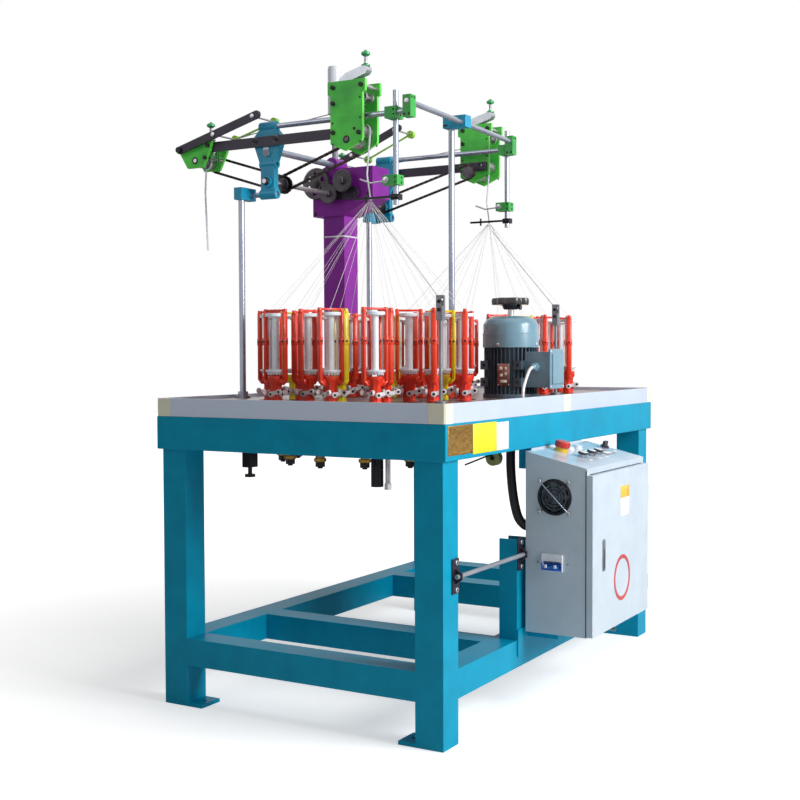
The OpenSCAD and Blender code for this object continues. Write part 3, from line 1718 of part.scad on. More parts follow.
// Three-pole breaker in its window
module breaker() {
  color("whitesmoke")
    difference() {
      union() {
        block([breaker_x, cab_y - 8, breaker_z], [breaker_x + breaker_w, cab_y + 50, breaker_z + breaker_h]);
        for (s = [0, 1])
          translate([breaker_x + (s == 0 ? -14 : breaker_w + 14), cab_y, breaker_z + breaker_h / 2 - 2])
            rotate([90, 0, 0])
              cylinder(h = 3, d = 6, $fn = 20);
      }
      block([breaker_x + 4, cab_y - 9, breaker_z + 6], [breaker_x + breaker_w - 4, cab_y + 14, breaker_z + 27]);
      for (k = [1, 2])
        block([breaker_x + k * breaker_w / 3 - 0.4, cab_y - 9, breaker_z + 27], [breaker_x + k * breaker_w / 3 + 0.4, cab_y - 7, breaker_z + breaker_h + 1]);
    }
}

toggle_axis = [cab_y + 6, breaker_z + 15];
module breaker_toggle() {
  color("royalblue") {
    x_pin([breaker_x + 4 + gap, toggle_axis[0], toggle_axis[1]], breaker_w - 8 - 2 * gap, 12);
    for (k = [0 : 2])
      block([breaker_x + 7 + k * 17.5, cab_y - 18, toggle_axis[1] - 7], [breaker_x + 17 + k * 17.5, toggle_axis[0], toggle_axis[1] - 1]);
    block([breaker_x + 7, cab_y - 18, toggle_axis[1] - 7], [breaker_x + breaker_w - 8, cab_y - 14, toggle_axis[1] - 1]);
  }
}

// Fan: wire guard outside the wall, frame ring and motor spider inside it
module fan_guard() {
  y = cab_y;
  translate([fan_x, y, fan_z])
    rotate([90, 0, 0]) {
      color("black")
        difference() {
          pin([0, 0, -cab_wall - 26], 26 - gap, fan_d + 10, 64);
          pin([0, 0, -cab_wall - 30], 32, fan_d - 2, 64);
        }
      color("black")
        for (k = [0 : 3])
          spin(90 * k + 10)
            translate([0, -3, -cab_wall - 26])
              cube([fan_d / 2, 6, 3]);
      color("black")
        pin([0, 0, -cab_wall - 26], 6, 24);
      color("black")
        pin([0, 0, -cab_wall - 26], 20, 5, 24);
      color("silver") {
        for (r = [12, 20, 28, 36, 44])
          up(3)
            rotate_extrude($fn = 64)
              translate([r, 0])
                circle(d = 2, $fn = 16);
        for (a = [45, 135])
          spin(a)
            translate([-fan_d / 2 - 12, -1, 2.6])
              cube([fan_d + 24, 2, 2]);
        for (a = [45 : 90 : 315])
          spin(a)
            pin([fan_d / 2 + 12, 0, 0], 5, 8, 24);
      }
    }
}

module fan_rotor() {
  translate([fan_x, cab_y, fan_z])
    rotate([90, 0, 0])
      color("dimgray")
        difference() {
          union() {
            pin([0, 0, -cab_wall - 18], 16, 38, 40);
            for (k = [0 : 6])
              spin(360 * k / 7)
                translate([15, 0, -cab_wall - 10])
                  rotate([38, 0, 0])
                    translate([0, -8, -1])
                      cube([fan_d / 2 - 19, 16, 2]);
          }
          pin([0, 0, -cab_wall - 19], 14, 5 + 2 * run_fit, 24);
        }
}

// Short post on the side rail, bearing plates and the round bar between them
brace_y = [-690, -304];
brace_z = 428;
brace_x = table_w / 2 - leg_in_x;
module brace() {
  color("teal") {
    difference() {
      block([brace_x - 54, -321, rail_z + rail_h], [brace_x, -257, 470]);
      block([brace_x - 60, -315, rail_z + rail_h + 6], [brace_x - 6, -263, 480]);
    }
    block([brace_x, -321, rail_z + 30], [brace_x + 4, -257, rail_z + rail_h + 30]);
  }
  color("black")
    for (y = brace_y)
      difference() {
        union() {
          block([brace_x, y - 17, 384], [brace_x + 4, y + 17, 472]);
          translate([brace_x + 4, y + 3, brace_z])
            rotate([90, 0, 0])
              linear_extrude(6)
                polygon([[0, -20], [18, -8], [18, 8], [0, 20]]);
        }
        translate([brace_x + 12, y + 10, brace_z])
          rotate([90, 0, 0])
            cylinder(h = 20, d = 12, $fn = 32);
      }
  color("gray")
    y_shaft([brace_x + 12, brace_z], brace_y[0] - 12, brace_y[1] + 6, 12);
}

stand_pos = [[337, -560], [337, 200]];
feeler_tip = [[34, -402], [46, 338]];
feeler_tip_z = 1392;
stand_h = 272;
feeler_dir = 153;
feeler_z = bed_z + stand_h;

module feeler_stands() {
  color("silver")
    for (p = stand_pos)
      translate([p[0], p[1], bed_z]) {
        cylinder(h = 8, d = 34, $fn = 32);
        cylinder(h = stand_h - 54, d = 10, $fn = 24);
        difference() {
          translate([-9, -9, stand_h - 54])
            cube([18, 18, 66]);
          spin(feeler_dir)
            translate([-20, -4, stand_h - 16])
              cube([40, 8, 40]);
          spin(feeler_dir)
            translate([0, 20, stand_h])
              rotate([90, 0, 0])
                cylinder(h = 40, d = 5, $fn = 24);
        }
      }
}

// Stop feeler: a thin rod on a cross pin at the top of its stand
module feeler(s) {
  p = stand_pos[s];
  t = feeler_tip[s];
  a = [p[0], p[1], feeler_z];
  b = [t[0], t[1], feeler_tip_z];
  color("silver") {
    rod(a, b, 3);
    translate(a)
      spin(feeler_dir)
        translate([0, 4 - gap, 0])
          rotate([90, 0, 0])
            cylinder(h = 8 - 2 * gap, d = 12, $fn = 32);
    translate(a)
      spin(feeler_dir)
        translate([0, 11, 0])
          rotate([90, 0, 0])
            cylinder(h = 22, d = 5 - 2 * run_fit, $fn = 24);
  }
}

// Stop sensor, lubrication pump and belt tensioner hung under the lower plate
module under_units() {
  z = band_top;
  y = band_t - table_d / 2;
  x = motor_x + 25;
  by = motor_y - 155;
  color("black") {
    block([-286, y + 104, z - 150], [-258, y + 140, z]);
    pin([-272, y + 122, z - 172], 22, 12, 24);
    pin([-272, y + 122, z - 178], 8, 30);
    block([112, y + 140, z - 70], [176, y + 192, z]);
    pin([126, y + 166, z - 190], 120, 34);
  }
  color("silver") {
    pin([160, y + 166, z - 180], 110, 14, 24);
    pin([160, y + 166, z - 196], 16, 22, 6);
  }
  color("olive") {
    translate([x, by, z - 128])
      rotate([90, 0, 0])
        cylinder(h = 22, d = 44, $fn = 40);
  }
  color("dimgray") {
    block([x - 8, by - 22, z - 110], [x + 8, by - 16, z]);
    y_shaft([x, z - 128], by - 26, by + 6, 12);
    block([x - 8, by - 22, z - 134], [x + 8, by - 16, z - 110]);
    rod([x - 4, by - 30, z - 118], [x - 84, by - 30, z - 150], 5);
    y_shaft([x - 4, z - 118], by - 34, by - 22, 10);
  }
}

leg_frame();
table_band();
base_plate();
bed_plate();
rim_plates();  // rim
horn_gears();
carriers();
bobbins();
yarns();
column();
gearbox();
status_lamp();
arm_tubes();
arm_brackets();
flat_bars();
clamp_blocks();
forming_guides();
chains();
for (s = [0, 1]) tall_frame(s);  // top_frames
for (s = [0, 1]) end_frame(s);  // end_frames
motor_body();
motor_cowl();
terminal_box();
motor_lead();
conduit_hose();
cabinet_shell();
panel_collars();
breaker();
fan_guard();
brace();
feeler_stands();
under_units();
motor_rotor();
drive_shaft();
change_gear_drive();
front_line_shaft();
change_gear_large();
rear_line_shaft();
tall_rollers(0);  // front_top_roller
tall_rollers(1);  // rear_top_roller
nip_roller(0);  // front_top_nip
nip_roller(1);  // rear_top_nip
end_roller(0);  // front_end_roller
end_roller(1);  // rear_end_roller
pressure_lever(tall_pivots[0], tall_y[0] + plate_t + plate_gap / 2, 11);  // front_top_lever
pressure_lever(tall_pivots[1], tall_y[1] + plate_t + plate_gap / 2, 11);  // rear_top_lever
pressure_lever(end_pivots[0], end_y[0] + plate_t + plate_gap / 2, 9, 0.62);  // front_end_lever
pressure_lever(end_pivots[1], end_y[1] + plate_t + plate_gap / 2, 9, 0.62);  // rear_end_lever
swing_arm(0);  // front_swing_arm
swing_arm(1);  // rear_swing_arm
cabinet_door();
emergency_stop();
button(start_at, 20, 5, "green");  // start_button
button(halt_at, 20, 5, "red");  // halt_button
button(jog_at, 20, 5, "gray");  // jog_button
selector_knob();
breaker_toggle();
fan_rotor();
feeler(0);  // front_feeler
feeler(1);  // rear_feeler
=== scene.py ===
import math

import bmesh
import bpy
from mathutils import Matrix, Vector


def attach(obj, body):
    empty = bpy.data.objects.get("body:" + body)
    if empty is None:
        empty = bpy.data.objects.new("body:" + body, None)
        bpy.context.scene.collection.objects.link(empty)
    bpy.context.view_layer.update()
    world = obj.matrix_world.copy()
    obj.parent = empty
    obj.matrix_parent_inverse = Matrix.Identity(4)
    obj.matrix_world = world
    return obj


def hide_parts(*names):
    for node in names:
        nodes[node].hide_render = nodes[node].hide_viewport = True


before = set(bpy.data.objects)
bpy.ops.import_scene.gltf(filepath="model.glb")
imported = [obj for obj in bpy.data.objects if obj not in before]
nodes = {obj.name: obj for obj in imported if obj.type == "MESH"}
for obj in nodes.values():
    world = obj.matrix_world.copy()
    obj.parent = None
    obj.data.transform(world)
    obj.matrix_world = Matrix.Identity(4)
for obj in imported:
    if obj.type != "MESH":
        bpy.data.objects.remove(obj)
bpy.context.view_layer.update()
mm = 0.001
print("frame loaded with", len(nodes), "nodes")

# camera at the front right corner, a little above the table
view = {
    "place": (1.864, -3.3887, 0.9845), "turn": 30.26, "down": 2.2, "roll": -0.19,
    "fieldOfView": 36.0
}


def linked(name, data):
    # a new object round its data, in the scene
    piece = bpy.data.objects.new(name, data)
    bpy.context.scene.collection.objects.link(piece)
    return piece


def makeCamera():
    camera = linked("photoCamera", bpy.data.cameras.new("photoCamera"))
    camera.data.angle = math.radians(view["fieldOfView"])
    camera.data.clip_end = 60
    turn = Matrix.Rotation(math.radians(view["turn"]), 4, "Z")
    tilt = Matrix.Rotation(math.radians(90 - view["down"]), 4, "X")
    roll = Matrix.Rotation(math.radians(view["roll"]), 4, "Z")
    camera.matrix_world = Matrix.Translation(view["place"]) @ turn @ tilt @ roll
    bpy.context.scene.camera = camera


makeCamera()


# materials

def rgb(red, green, blue):
    # screen values 0 to 255, turned into linear colour
    linear = [
        (c / 255 / 12.92) if c < 10 else ((c / 255 + 0.055) / 1.055) ** 2.4
        for c in (red, green, blue)
    ]
    return (*linear, 1)


def addNode(tree, kind, **settings):
    # capitalised settings go to the node's inputs, the others to the node itself
    node = tree.nodes.new(kind)
    for key, value in settings.items():
        if key[0].isupper():
            node.inputs[key.replace("_", " ")].default_value = value
        else:
            setattr(node, key, value)
    return node


def wire(tree, source, output, target, socket):
    tree.links.new(source.outputs[output], target.inputs[socket])


def finish(
    name, tone, deep, rough, bump, fine, metal=0.0, grain=12, stretch=(1, 1, 1), coat=0.0,
    edgeWearAndHighlight=None, edge=1.2, shine=0.5
):
    # two tones in soft clouds, a fine bump, uneven gloss and, where asked, lighter edges: rubbed
    # paint together with a painted edge highlight
    material = bpy.data.materials.new(name)
    material.use_nodes = True
    tree = material.node_tree
    shader = tree.nodes["Principled BSDF"]
    place = addNode(tree, "ShaderNodeTexCoord")
    mapping = addNode(tree, "ShaderNodeMapping", Scale=stretch)
    wire(tree, place, "Object", mapping, "Vector")
    clouds = addNode(tree, "ShaderNodeTexNoise", Scale=grain, Detail=5.0, Roughness=0.6)
    wire(tree, mapping, "Vector", clouds, "Vector")
    ramp = addNode(tree, "ShaderNodeValToRGB")
    for i, stop, colour in ((0, 0.3, deep), (1, 0.62, tone)):
        ramp.color_ramp.elements[i].position = stop
        ramp.color_ramp.elements[i].color = rgb(*colour)
    wire(tree, clouds, "Fac", ramp, "Fac")
    if edgeWearAndHighlight:
        # where the rounded normal leaves the face's own, the edge takes the lighter colour: rubbed
        # paint and a painted highlight
        rounded = addNode(tree, "ShaderNodeBevel", samples=3, Radius=edge * mm)
        flat = addNode(tree, "ShaderNodeNewGeometry")
        dot = addNode(tree, "ShaderNodeVectorMath", operation="DOT_PRODUCT")
        wire(tree, rounded, "Normal", dot, 0)
        wire(tree, flat, "Normal", dot, 1)
        rubbedAndLit = addNode(tree, "ShaderNodeMapRange", From_Min=0.97, From_Max=0.8)
        wire(tree, dot, "Value", rubbedAndLit, "Value")
        mix = addNode(tree, "ShaderNodeMix", data_type="RGBA")
        wire(tree, rubbedAndLit, "Result", mix, 0)
        wire(tree, ramp, "Color", mix, 6)
        mix.inputs[7].default_value = rgb(*edgeWearAndHighlight)
        wire(tree, mix, 2, shader, "Base Color")
    else:
        wire(tree, ramp, "Color", shader, "Base Color")
    speckle = addNode(tree, "ShaderNodeTexNoise", Scale=fine, Detail=3.0)
    wire(tree, mapping, "Vector", speckle, "Vector")
    gloss = addNode(tree, "ShaderNodeMapRange", To_Min=max(rough - 0.08, 0.04), To_Max=rough + 0.1)
    wire(tree, clouds, "Fac", gloss, "Value")
    wire(tree, gloss, "Result", shader, "Roughness")
    relief = addNode(tree, "ShaderNodeBump", Strength=bump, Distance=0.001)
    wire(tree, speckle, "Fac", relief, "Height")
    wire(tree, relief, "Normal", shader, "Normal")
    for key, value in (
        ("Metallic", metal), ("Coat Weight", coat), ("Coat Roughness", 0.12),
        ("Specular IOR Level", shine)
    ):
        shader.inputs[key].default_value = value
    return material


# the edge colours given below are lighter tones: rubbed paint together with a painted edge
# highlight
tealPaint = finish(
    "tealPaint", (3, 158, 194), (2, 146, 182), 0.42, 0.06, 260, edgeWearAndHighlight=(30, 178, 208), shine=0.15
)
purplePaint = finish(
    "purplePaint", (154, 46, 174), (128, 32, 152), 0.4, 0.2, 220, edgeWearAndHighlight=(205, 110, 214), shine=0.3
)
greenPaint = finish(
    "greenPaint", (104, 244, 94), (68, 196, 76), 0.42, 0.15, 240, edgeWearAndHighlight=(176, 240, 50), edge=2.0,
    shine=0.35
)
clampPaint = finish(
    "clampPaint", (44, 176, 66), (30, 158, 62), 0.42, 0.2, 240, coat=0.15, edgeWearAndHighlight=(110, 220, 80)
)
bracketPaint = finish(
    "bracketPaint", (8, 166, 205), (8, 146, 190), 0.42, 0.25, 220, coat=0.15, edgeWearAndHighlight=(40, 200, 225)
)
motorPaint = finish(
    "motorPaint", (120, 160, 178), (104, 142, 162), 0.32, 0.15, 200, coat=0.3, edgeWearAndHighlight=(160, 195, 208)
)
finPaint = finish("finPaint", (78, 98, 112), (56, 74, 90), 0.45, 0.25, 200)
cabinetPaint = finish(
    "cabinetPaint", (198, 211, 222), (188, 202, 214), 0.4, 0.18, 500, coat=0.1,
    edgeWearAndHighlight=(225, 234, 240), edge=0.8
)
panelPaint = finish("panelPaint", (212, 222, 232), (200, 212, 224), 0.22, 0.05, 500, coat=0.4)
rimMetal = finish(
    "rimMetal", (204, 216, 234), (196, 209, 229), 0.42, 0.03, 120, metal=0.15, grain=6
)
creamPlastic = finish(
    "creamPlastic", (238, 236, 216), (228, 226, 204), 0.45, 0.04, 300, edgeWearAndHighlight=(250, 248, 236)
)
whitePlastic = finish("whitePlastic", (248, 249, 252), (238, 241, 246), 0.3, 0.03, 200, coat=0.2)
bobbinPlastic = finish("bobbinPlastic", (242, 250, 255), (232, 243, 255), 0.26, 0.03, 240, coat=0.3)
leverPlastic = finish("leverPlastic", (236, 234, 236), (214, 212, 220), 0.36, 0.1, 260)
orangePlastic = finish(
    "orangePlastic", (244, 62, 26), (232, 46, 20), 0.34, 0.1, 180, coat=0.25, edgeWearAndHighlight=(250, 110, 80),
    edge=0.7
)
yellowPlastic = finish("yellowPlastic", (250, 232, 24), (240, 214, 18), 0.34, 0.1, 180, coat=0.25)
limePlastic = finish("limePlastic", (160, 226, 36), (136, 210, 30), 0.34, 0.05, 200, coat=0.2)
knobGreen = finish("knobGreen", (24, 176, 98), (14, 150, 80), 0.3, 0.05, 200, coat=0.3)
redPlastic = finish("redPlastic", (204, 42, 34), (184, 28, 24), 0.3, 0.04, 200, coat=0.35)
signalYellow = finish("signalYellow", (240, 200, 60), (230, 184, 48), 0.35, 0.04, 200, coat=0.2)
bluePlastic = finish("bluePlastic", (40, 110, 205), (26, 90, 185), 0.35, 0.04, 200)
greyPlastic = finish("greyPlastic", (150, 156, 164), (134, 140, 150), 0.4, 0.05, 260)
olivePlastic = finish("olivePlastic", (186, 190, 110), (160, 166, 90), 0.4, 0.1, 200)
blackPlastic = finish("blackPlastic", (34, 32, 38), (22, 20, 25), 0.28, 0.12, 260, coat=0.4)
blackSteel = finish(
    "blackSteel", (50, 42, 58), (34, 28, 42), 0.42, 0.1, 300, metal=0.35, edgeWearAndHighlight=(110, 104, 120)
)
rubber = finish("rubber", (36, 32, 36), (24, 20, 24), 0.55, 0.15, 300)
boltBlack = finish("boltBlack", (40, 38, 44), (22, 20, 26), 0.36, 0.08, 500, metal=0.6)
# painted shade: a near-black laid on surfaces for the inside of holes and sockets
paintedHoleShade = finish("paintedHoleShade", (16, 16, 20), (8, 8, 10), 0.7, 0.05, 300)
chrome = finish("chrome", (168, 174, 188), (146, 152, 170), 0.16, 0.0, 300, metal=0.6, grain=6)
steel = finish(
    "steel", (200, 198, 200), (172, 172, 178), 0.3, 0.08, 350, metal=0.9, grain=30,
    stretch=(1, 6, 1)
)
castMetal = finish(
    "castMetal", (196, 200, 206), (160, 164, 174), 0.38, 0.4, 140, metal=0.75, edgeWearAndHighlight=(235, 238, 240)
)
gearSteel = finish(
    "gearSteel", (96, 90, 96), (66, 60, 68), 0.38, 0.2, 240, metal=0.75, edgeWearAndHighlight=(160, 154, 158),
    edge=0.6
)
chainSteel = finish("chainSteel", (70, 56, 52), (40, 30, 34), 0.36, 0.15, 300, metal=0.7)
bedSteel = finish(
    "bedSteel", (150, 132, 128), (124, 108, 108), 0.32, 0.06, 200, metal=0.6, grain=20,
    stretch=(1, 12, 1)
)
plateSteel = finish(
    "plateSteel", (140, 140, 146), (112, 112, 120), 0.42, 0.1, 200, metal=0.6, grain=20
)
brass = finish(
    "brass", (186, 146, 66), (140, 100, 42), 0.32, 0.2, 180, metal=0.85, grain=60, stretch=(1, 1, 4)
)
stickerYellow = finish("stickerYellow", (244, 236, 40), (238, 226, 30), 0.5, 0.02, 300)
stickerWhite = finish("stickerWhite", (244, 244, 248), (236, 236, 242), 0.5, 0.02, 300)
ratingPlateMetal = finish(
    "ratingPlateMetal", (150, 104, 96), (96, 58, 56), 0.3, 0.1, 250, metal=0.5, grain=70
)
horns = finish("horns", (150, 132, 96), (112, 98, 72), 0.36, 0.08, 200, metal=0.75)
lampPlastic = finish("lampPlastic", (238, 242, 250), (224, 232, 246), 0.24, 0.02, 100, coat=0.4)
yarnWhite = finish("yarnWhite", (252, 250, 250), (244, 240, 243), 0.6, 0.2, 900, grain=90)


def makeWeave():
    # ribbon: crossing strands from the strip's own map
    material = finish("ribbonWeave", (240, 240, 248), (222, 222, 236), 0.62, 0.1, 900, grain=60)
    tree = material.node_tree
    both = addNode(tree, "ShaderNodeMath", operation="MAXIMUM")
    for i, slant in enumerate((45, -45)):
        place = addNode(tree, "ShaderNodeTexCoord")
        mapping = addNode(
            tree, "ShaderNodeMapping", Rotation=(0, 0, math.radians(slant)), Scale=(5, 5, 5)
        )
        wave = addNode(tree, "ShaderNodeTexWave", Scale=1.0)
        wire(tree, place, "UV", mapping, "Vector")
        wire(tree, mapping, "Vector", wave, "Vector")
        wire(tree, wave, "Fac", both, i)
    relief = next(n for n in tree.nodes if n.bl_idname == "ShaderNodeBump")
    relief.inputs["Strength"].default_value = 0.5
    wire(tree, both, "Value", relief, "Height")
    return material


ribbonWeave = makeWeave()
print("materials made")


# modelling helpers

def deselect():
    bpy.ops.object.select_all(action="DESELECT")


def pick(piece):
    deselect()
    piece.select_set(True)
    bpy.context.view_layer.objects.active = piece


def edit(piece):
    pick(piece)
    bpy.ops.object.mode_set(mode="EDIT")


def endEdit():
    bpy.ops.object.mode_set(mode="OBJECT")


def selectAll():
    bpy.ops.mesh.select_all(action="SELECT")


def settle(piece):
    # the piece's place goes into its mesh
    pick(piece)
    bpy.ops.object.transform_apply(location=True, rotation=True, scale=True)


def smoothByAngle(piece, angle=35):
    pick(piece)
    bpy.ops.object.shade_smooth_by_angle(angle=math.radians(angle))


def selectVertices(piece, test):
    # inside edit mode: leaves selected only the vertices that pass
    bpy.ops.mesh.select_mode(type="VERT")
    bpy.ops.mesh.select_all(action="DESELECT")
    endEdit()
    for vertex in piece.data.vertices:
        vertex.select = test(vertex)
    bpy.ops.object.mode_set(mode="EDIT")


def turned(name, profile, material, sides, tube=False):
    # a ring is raised and resized through (radius, height) steps in mm, about Z
    # a tube ends where it began
    if tube:
        profile = [*profile, profile[0]]
    deselect()
    radius, height = profile[0]
    bpy.ops.mesh.primitive_circle_add(
        vertices=sides, radius=radius * mm, location=(0, 0, height * mm)
    )
    piece = bpy.context.object
    piece.name = name
    settle(piece)
    edit(piece)
    selectAll()
    for nextRadius, nextHeight in profile[1:]:
        bpy.ops.mesh.extrude_edges_move(
            TRANSFORM_OT_translate={"value": (0, 0, (nextHeight - height) * mm)}
        )
        grow = nextRadius / radius
        bpy.ops.transform.resize(value=(grow, grow, 1), center_override=(0, 0, 0))
        radius, height = nextRadius, nextHeight
    if tube:
        selectAll()
        bpy.ops.mesh.remove_doubles(threshold=0.00001)
    else:
        bpy.ops.mesh.edge_face_add()
        selectVertices(piece, lambda vertex: vertex.index < sides)
        bpy.ops.mesh.edge_face_add()
    selectAll()
    bpy.ops.mesh.normals_make_consistent(inside=False)
    endEdit()
    smoothByAngle(piece)
    piece.data.materials.append(material)
    return piece


def block(name, low, high, material, bevel=1.0, segments=2):
    # a box with rounded edges between two corners in mm
    deselect()
    centre = [(a + b) / 2 * mm for a, b in zip(low, high)]
    bpy.ops.mesh.primitive_cube_add(size=1, location=centre)
    piece = bpy.context.object
    piece.name = name
    piece.scale = [abs(b - a) * mm for a, b in zip(low, high)]
    settle(piece)
    edit(piece)
    selectAll()
    bpy.ops.mesh.bevel(offset=bevel * mm, segments=segments, affect="EDGES")
    endEdit()
    smoothByAngle(piece, 50)
    piece.data.materials.append(material)
    return piece


def outline(name, points, thick, material, bevel):
    # a flat plate: its XZ outline in mm is pulled back along Y, edges rounded
    mesh = bpy.data.meshes.new(name)
    mesh.from_pydata([(x * mm, 0, z * mm) for x, z in points], [], [list(range(len(points)))])
    piece = linked(name, mesh)
    edit(piece)
    selectAll()
    bpy.ops.mesh.extrude_region_move(TRANSFORM_OT_translate={"value": (0, thick * mm, 0)})
    selectAll()
    bpy.ops.mesh.normals_make_consistent(inside=False)
    if bevel:
        bpy.ops.mesh.bevel(offset=bevel * mm, segments=1, affect="EDGES")
    endEdit()
    smoothByAngle(piece)
    piece.data.materials.append(material)
    return piece


def shift(x, y, z):
    return Matrix.Translation((x * mm, y * mm, z * mm))


def spin(angle, axis="Z"):
    return Matrix.Rotation(math.radians(angle), 4, axis)


def moved(piece, place):
    piece.data.transform(place)
    return piece


def joined(name, pieces):
    pick(pieces[0])
    for piece in pieces:
        piece.select_set(True)
    if len(pieces) > 1:
        bpy.ops.object.join()
    pieces[0].name = name
    return pieces[0]


def twin(piece):
    return linked(piece.name, piece.data.copy())


def copied(piece, places, name=None):
    # one model, set at many places, made one piece
    made = [moved(twin(piece), place) for place in places]
    title = name or piece.name
    bpy.data.objects.remove(piece)
    return joined(title, made)


def done(piece, replaces=(), body="machine"):
    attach(piece, body)
    if replaces:
        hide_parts(*replaces)


def scatter(piece, places, name, replaces=()):
    done(copied(piece, places, name), replaces)


def faceY(x, y, z):
    # turns a piece built upwards so that it stands out towards the front
    return shift(x, y, z) @ spin(90, "X")


def faceBack(x, y, z):
    return shift(x, y, z) @ spin(-90, "X")


# (front or rear, the way a piece faces there, which way is outwards)
bothSides = ((0, faceY, -1), (1, faceBack, 1))


def faceRight(x, y, z):
    return shift(x, y, z) @ spin(90, "Y")


def faceLeft(x, y, z):
    return shift(x, y, z) @ spin(-90, "Y")


def paint(node, material, *others):
    # materials of a CAD node: later ones go to the faces whose centre (in mm) passes their test
    mesh = nodes[node].data
    mesh.materials.clear()
    for each in (material, *(other for other, test in others)):
        mesh.materials.append(each)
    for face in mesh.polygons:
        face.material_index = 0
        centre = face.center / mm
        for index, (other, test) in enumerate(others, 1):
            if test(centre):
                face.material_index = index


def softened(node, width, material, *others, slot, angle=30, body="machine"):
    # the node's own shape with its edges rounded, in its place
    paint(node, material, *others)
    piece = linked(node + "Rounded", nodes[node].data.copy())
    edit(piece)
    selectAll()
    bpy.ops.mesh.remove_doubles(threshold=0.00002)
    bpy.ops.mesh.dissolve_limited(angle_limit=math.radians(1), delimit={"MATERIAL"})
    endEdit()
    bevel = piece.modifiers.new("rounded", "BEVEL")
    bevel.width = width * mm
    bevel.segments = 2
    bevel.angle_limit = math.radians(angle)
    bevel.use_clamp_overlap = True
    bpy.ops.object.modifier_apply(modifier="rounded")
    smoothByAngle(piece, 40)
    # large flat faces keep their own normal up to the rounded edge
    piece.modifiers.new("weighted", "WEIGHTED_NORMAL").keep_sharp = True
    bpy.ops.object.modifier_apply(modifier="weighted")
    done(piece, [node], body)


# cords

def smoothRoute(points, steps):
    # the curve through given points, as the source draws it
    def bend(a, b, c, d, t):
        square = (2 * a - 5 * b + 4 * c - d) * t * t
        return 0.5 * ((2 * b) + (c - a) * t + square + (3 * b - a - 3 * c + d) * t ** 3)

    points = [Vector(p) for p in points]
    last = len(points) - 1
    route = []
    for i in range(last):
        for j in range(steps):
            four = (points[max(i - 1, 0)], points[i], points[i + 1], points[min(i + 2, last)])
            route.append(bend(*four, j / steps))
    return route + [points[last]]


def strandCurve(name, routes, width, resolution, material):
    # round strands through their points in mm, one spline to a route
    curve = bpy.data.curves.new(name, "CURVE")
    curve.dimensions = "3D"
    curve.bevel_depth = width / 2 * mm
    curve.bevel_resolution = resolution
    for route in routes:
        line = curve.splines.new("POLY")
        line.points.add(len(route) - 1)
        for point, place in zip(line.points, route):
            point.co = (*(c * mm for c in place), 1)
    curve.materials.append(material)
    return linked(name, curve)


lead = {
    "width": 9,
    "route": [
        (398, -91.3, 942), (398, -102, 942), (398, -114, 941.6), (404, -150, 932), (413, -192, 908),
        (420, -224, 884), (421, -230, 866), (421, -230, 850.3)
    ],
}
hose = {
    "width": 26,
    "route": [
        (376, -210, 809.7), (376, -210, 780), (376, -214, 720), (382, -226, 650), (396, -240, 580),
        (414, -249, 525), (434, -250, 502), (446, -250, 500), (458.7, -250, 500)
    ],
}


def makeCords():
    for name, cord, material, node, slot, stiffness in (
        ("motorLead", lead, whitePlastic, "motor_lead", "white_sheath", "medium"),
        ("conduitHose", hose, rubber, "conduit_hose", "hose_rubber", "stiff"),
    ):
        route = smoothRoute(cord["route"], 6)
        piece = strandCurve(name, [route], cord["width"], 5, material)
        piece.data.use_fill_caps = True
        done(piece, [node])


makeCords()
print("cords made")


# table, bed and rim

table = {"halfWidth": 458, "halfDepth": 760, "corner": (51, 41), "strip": 21, "trackZ": 837.5}


def makeTable():
    softened("leg_frame", 2.5, tealPaint, slot="frame_paint")
    softened("table_band", 2.5, tealPaint, slot="frame_paint")
    paint("base_plate", plateSteel)
    paint("bed_plate", bedSteel)
    x0, y0 = table["halfWidth"], table["halfDepth"]
    # cream corner pieces and the cover strip on the right
    (dx, dy), strip = table["corner"], table["strip"]
    cream = lambda c: (abs(c.x) > x0 - dx and abs(c.y) > y0 - dy) or (abs(c.y) < strip and c.x > 0)
    softened("rim", 0.8, rimMetal, (creamPlastic, cream), slot="rim_metal")
    # the islands inside the slots are bare like the bed
    paint("horn_gears", horns, (bedSteel, lambda c: c.z > table["trackZ"]))


def makeBandPlates():
    # bare plates near the front right corner: brass, yellow and white
    x = table["halfWidth"]
    plates = (
        ("brassPlate", -748, -616, 731, 805, brass),
        ("yellowPlate", -615, -478, 727, 804, stickerYellow),
        ("whitePlate", -477, -404, 727, 801, stickerWhite)
    )
    for name, y0, y1, z0, z1, material in plates:
        plate = block(name, (x + 0.1, y0, z0), (x + 1.2, y1, z1), material, bevel=0.4, segments=1)
        if name == "brassPlate":
            rivet = turned("rivet", [(2.2, 0), (2.2, 0.8), (1.4, 1.5)], brass, 12)
            corners = [faceRight(x + 1.2, y, z) for y in (y0 + 5, y1 - 5) for z in (z0 + 5, z1 - 5)]
            rivets = copied(rivet, corners)
            edit(plate)
            selectVertices(plate, lambda vertex: vertex.co.x > (x + 1) * mm)
            bpy.ops.mesh.select_mode(type="FACE")
            bpy.ops.mesh.inset(thickness=3 * mm, depth=-0.4 * mm)
            endEdit()
            plate = joined(name, [plate, rivets])
        done(plate)


makeTable()
makeBandPlates()
print("table made")


# carriers, bobbins, levers and yarns

heads = {"front": -380, "rear": 360, "ring": 244, "count": 12, "phase": 28}
# heights and widths in mm, the post's middle boss as a share of its height
carrier = {
    "bed": 850.3, "bodyHeight": 72, "bodyWidth": 44, "postHeight": 174, "postOut": 32.5, "post": 9,
    "postWide": 16, "boss": 0.54
}
bobbin = {"bottom": 926.6, "height": 166, "flange": 27.4, "core": 10.2}
braid = {"x": (8, 20), "y": (-373, 372), "z": 1416, "ring": 5.5}


def carrierTurn(i, k):
    return 90 * k + (heads["phase"] if i % 2 == 0 else 90 - heads["phase"])


def hornPlace(i, middle):
    ring = math.radians(360 * i / heads["count"])
    return heads["ring"] * math.cos(ring), middle + heads["ring"] * math.sin(ring), ring


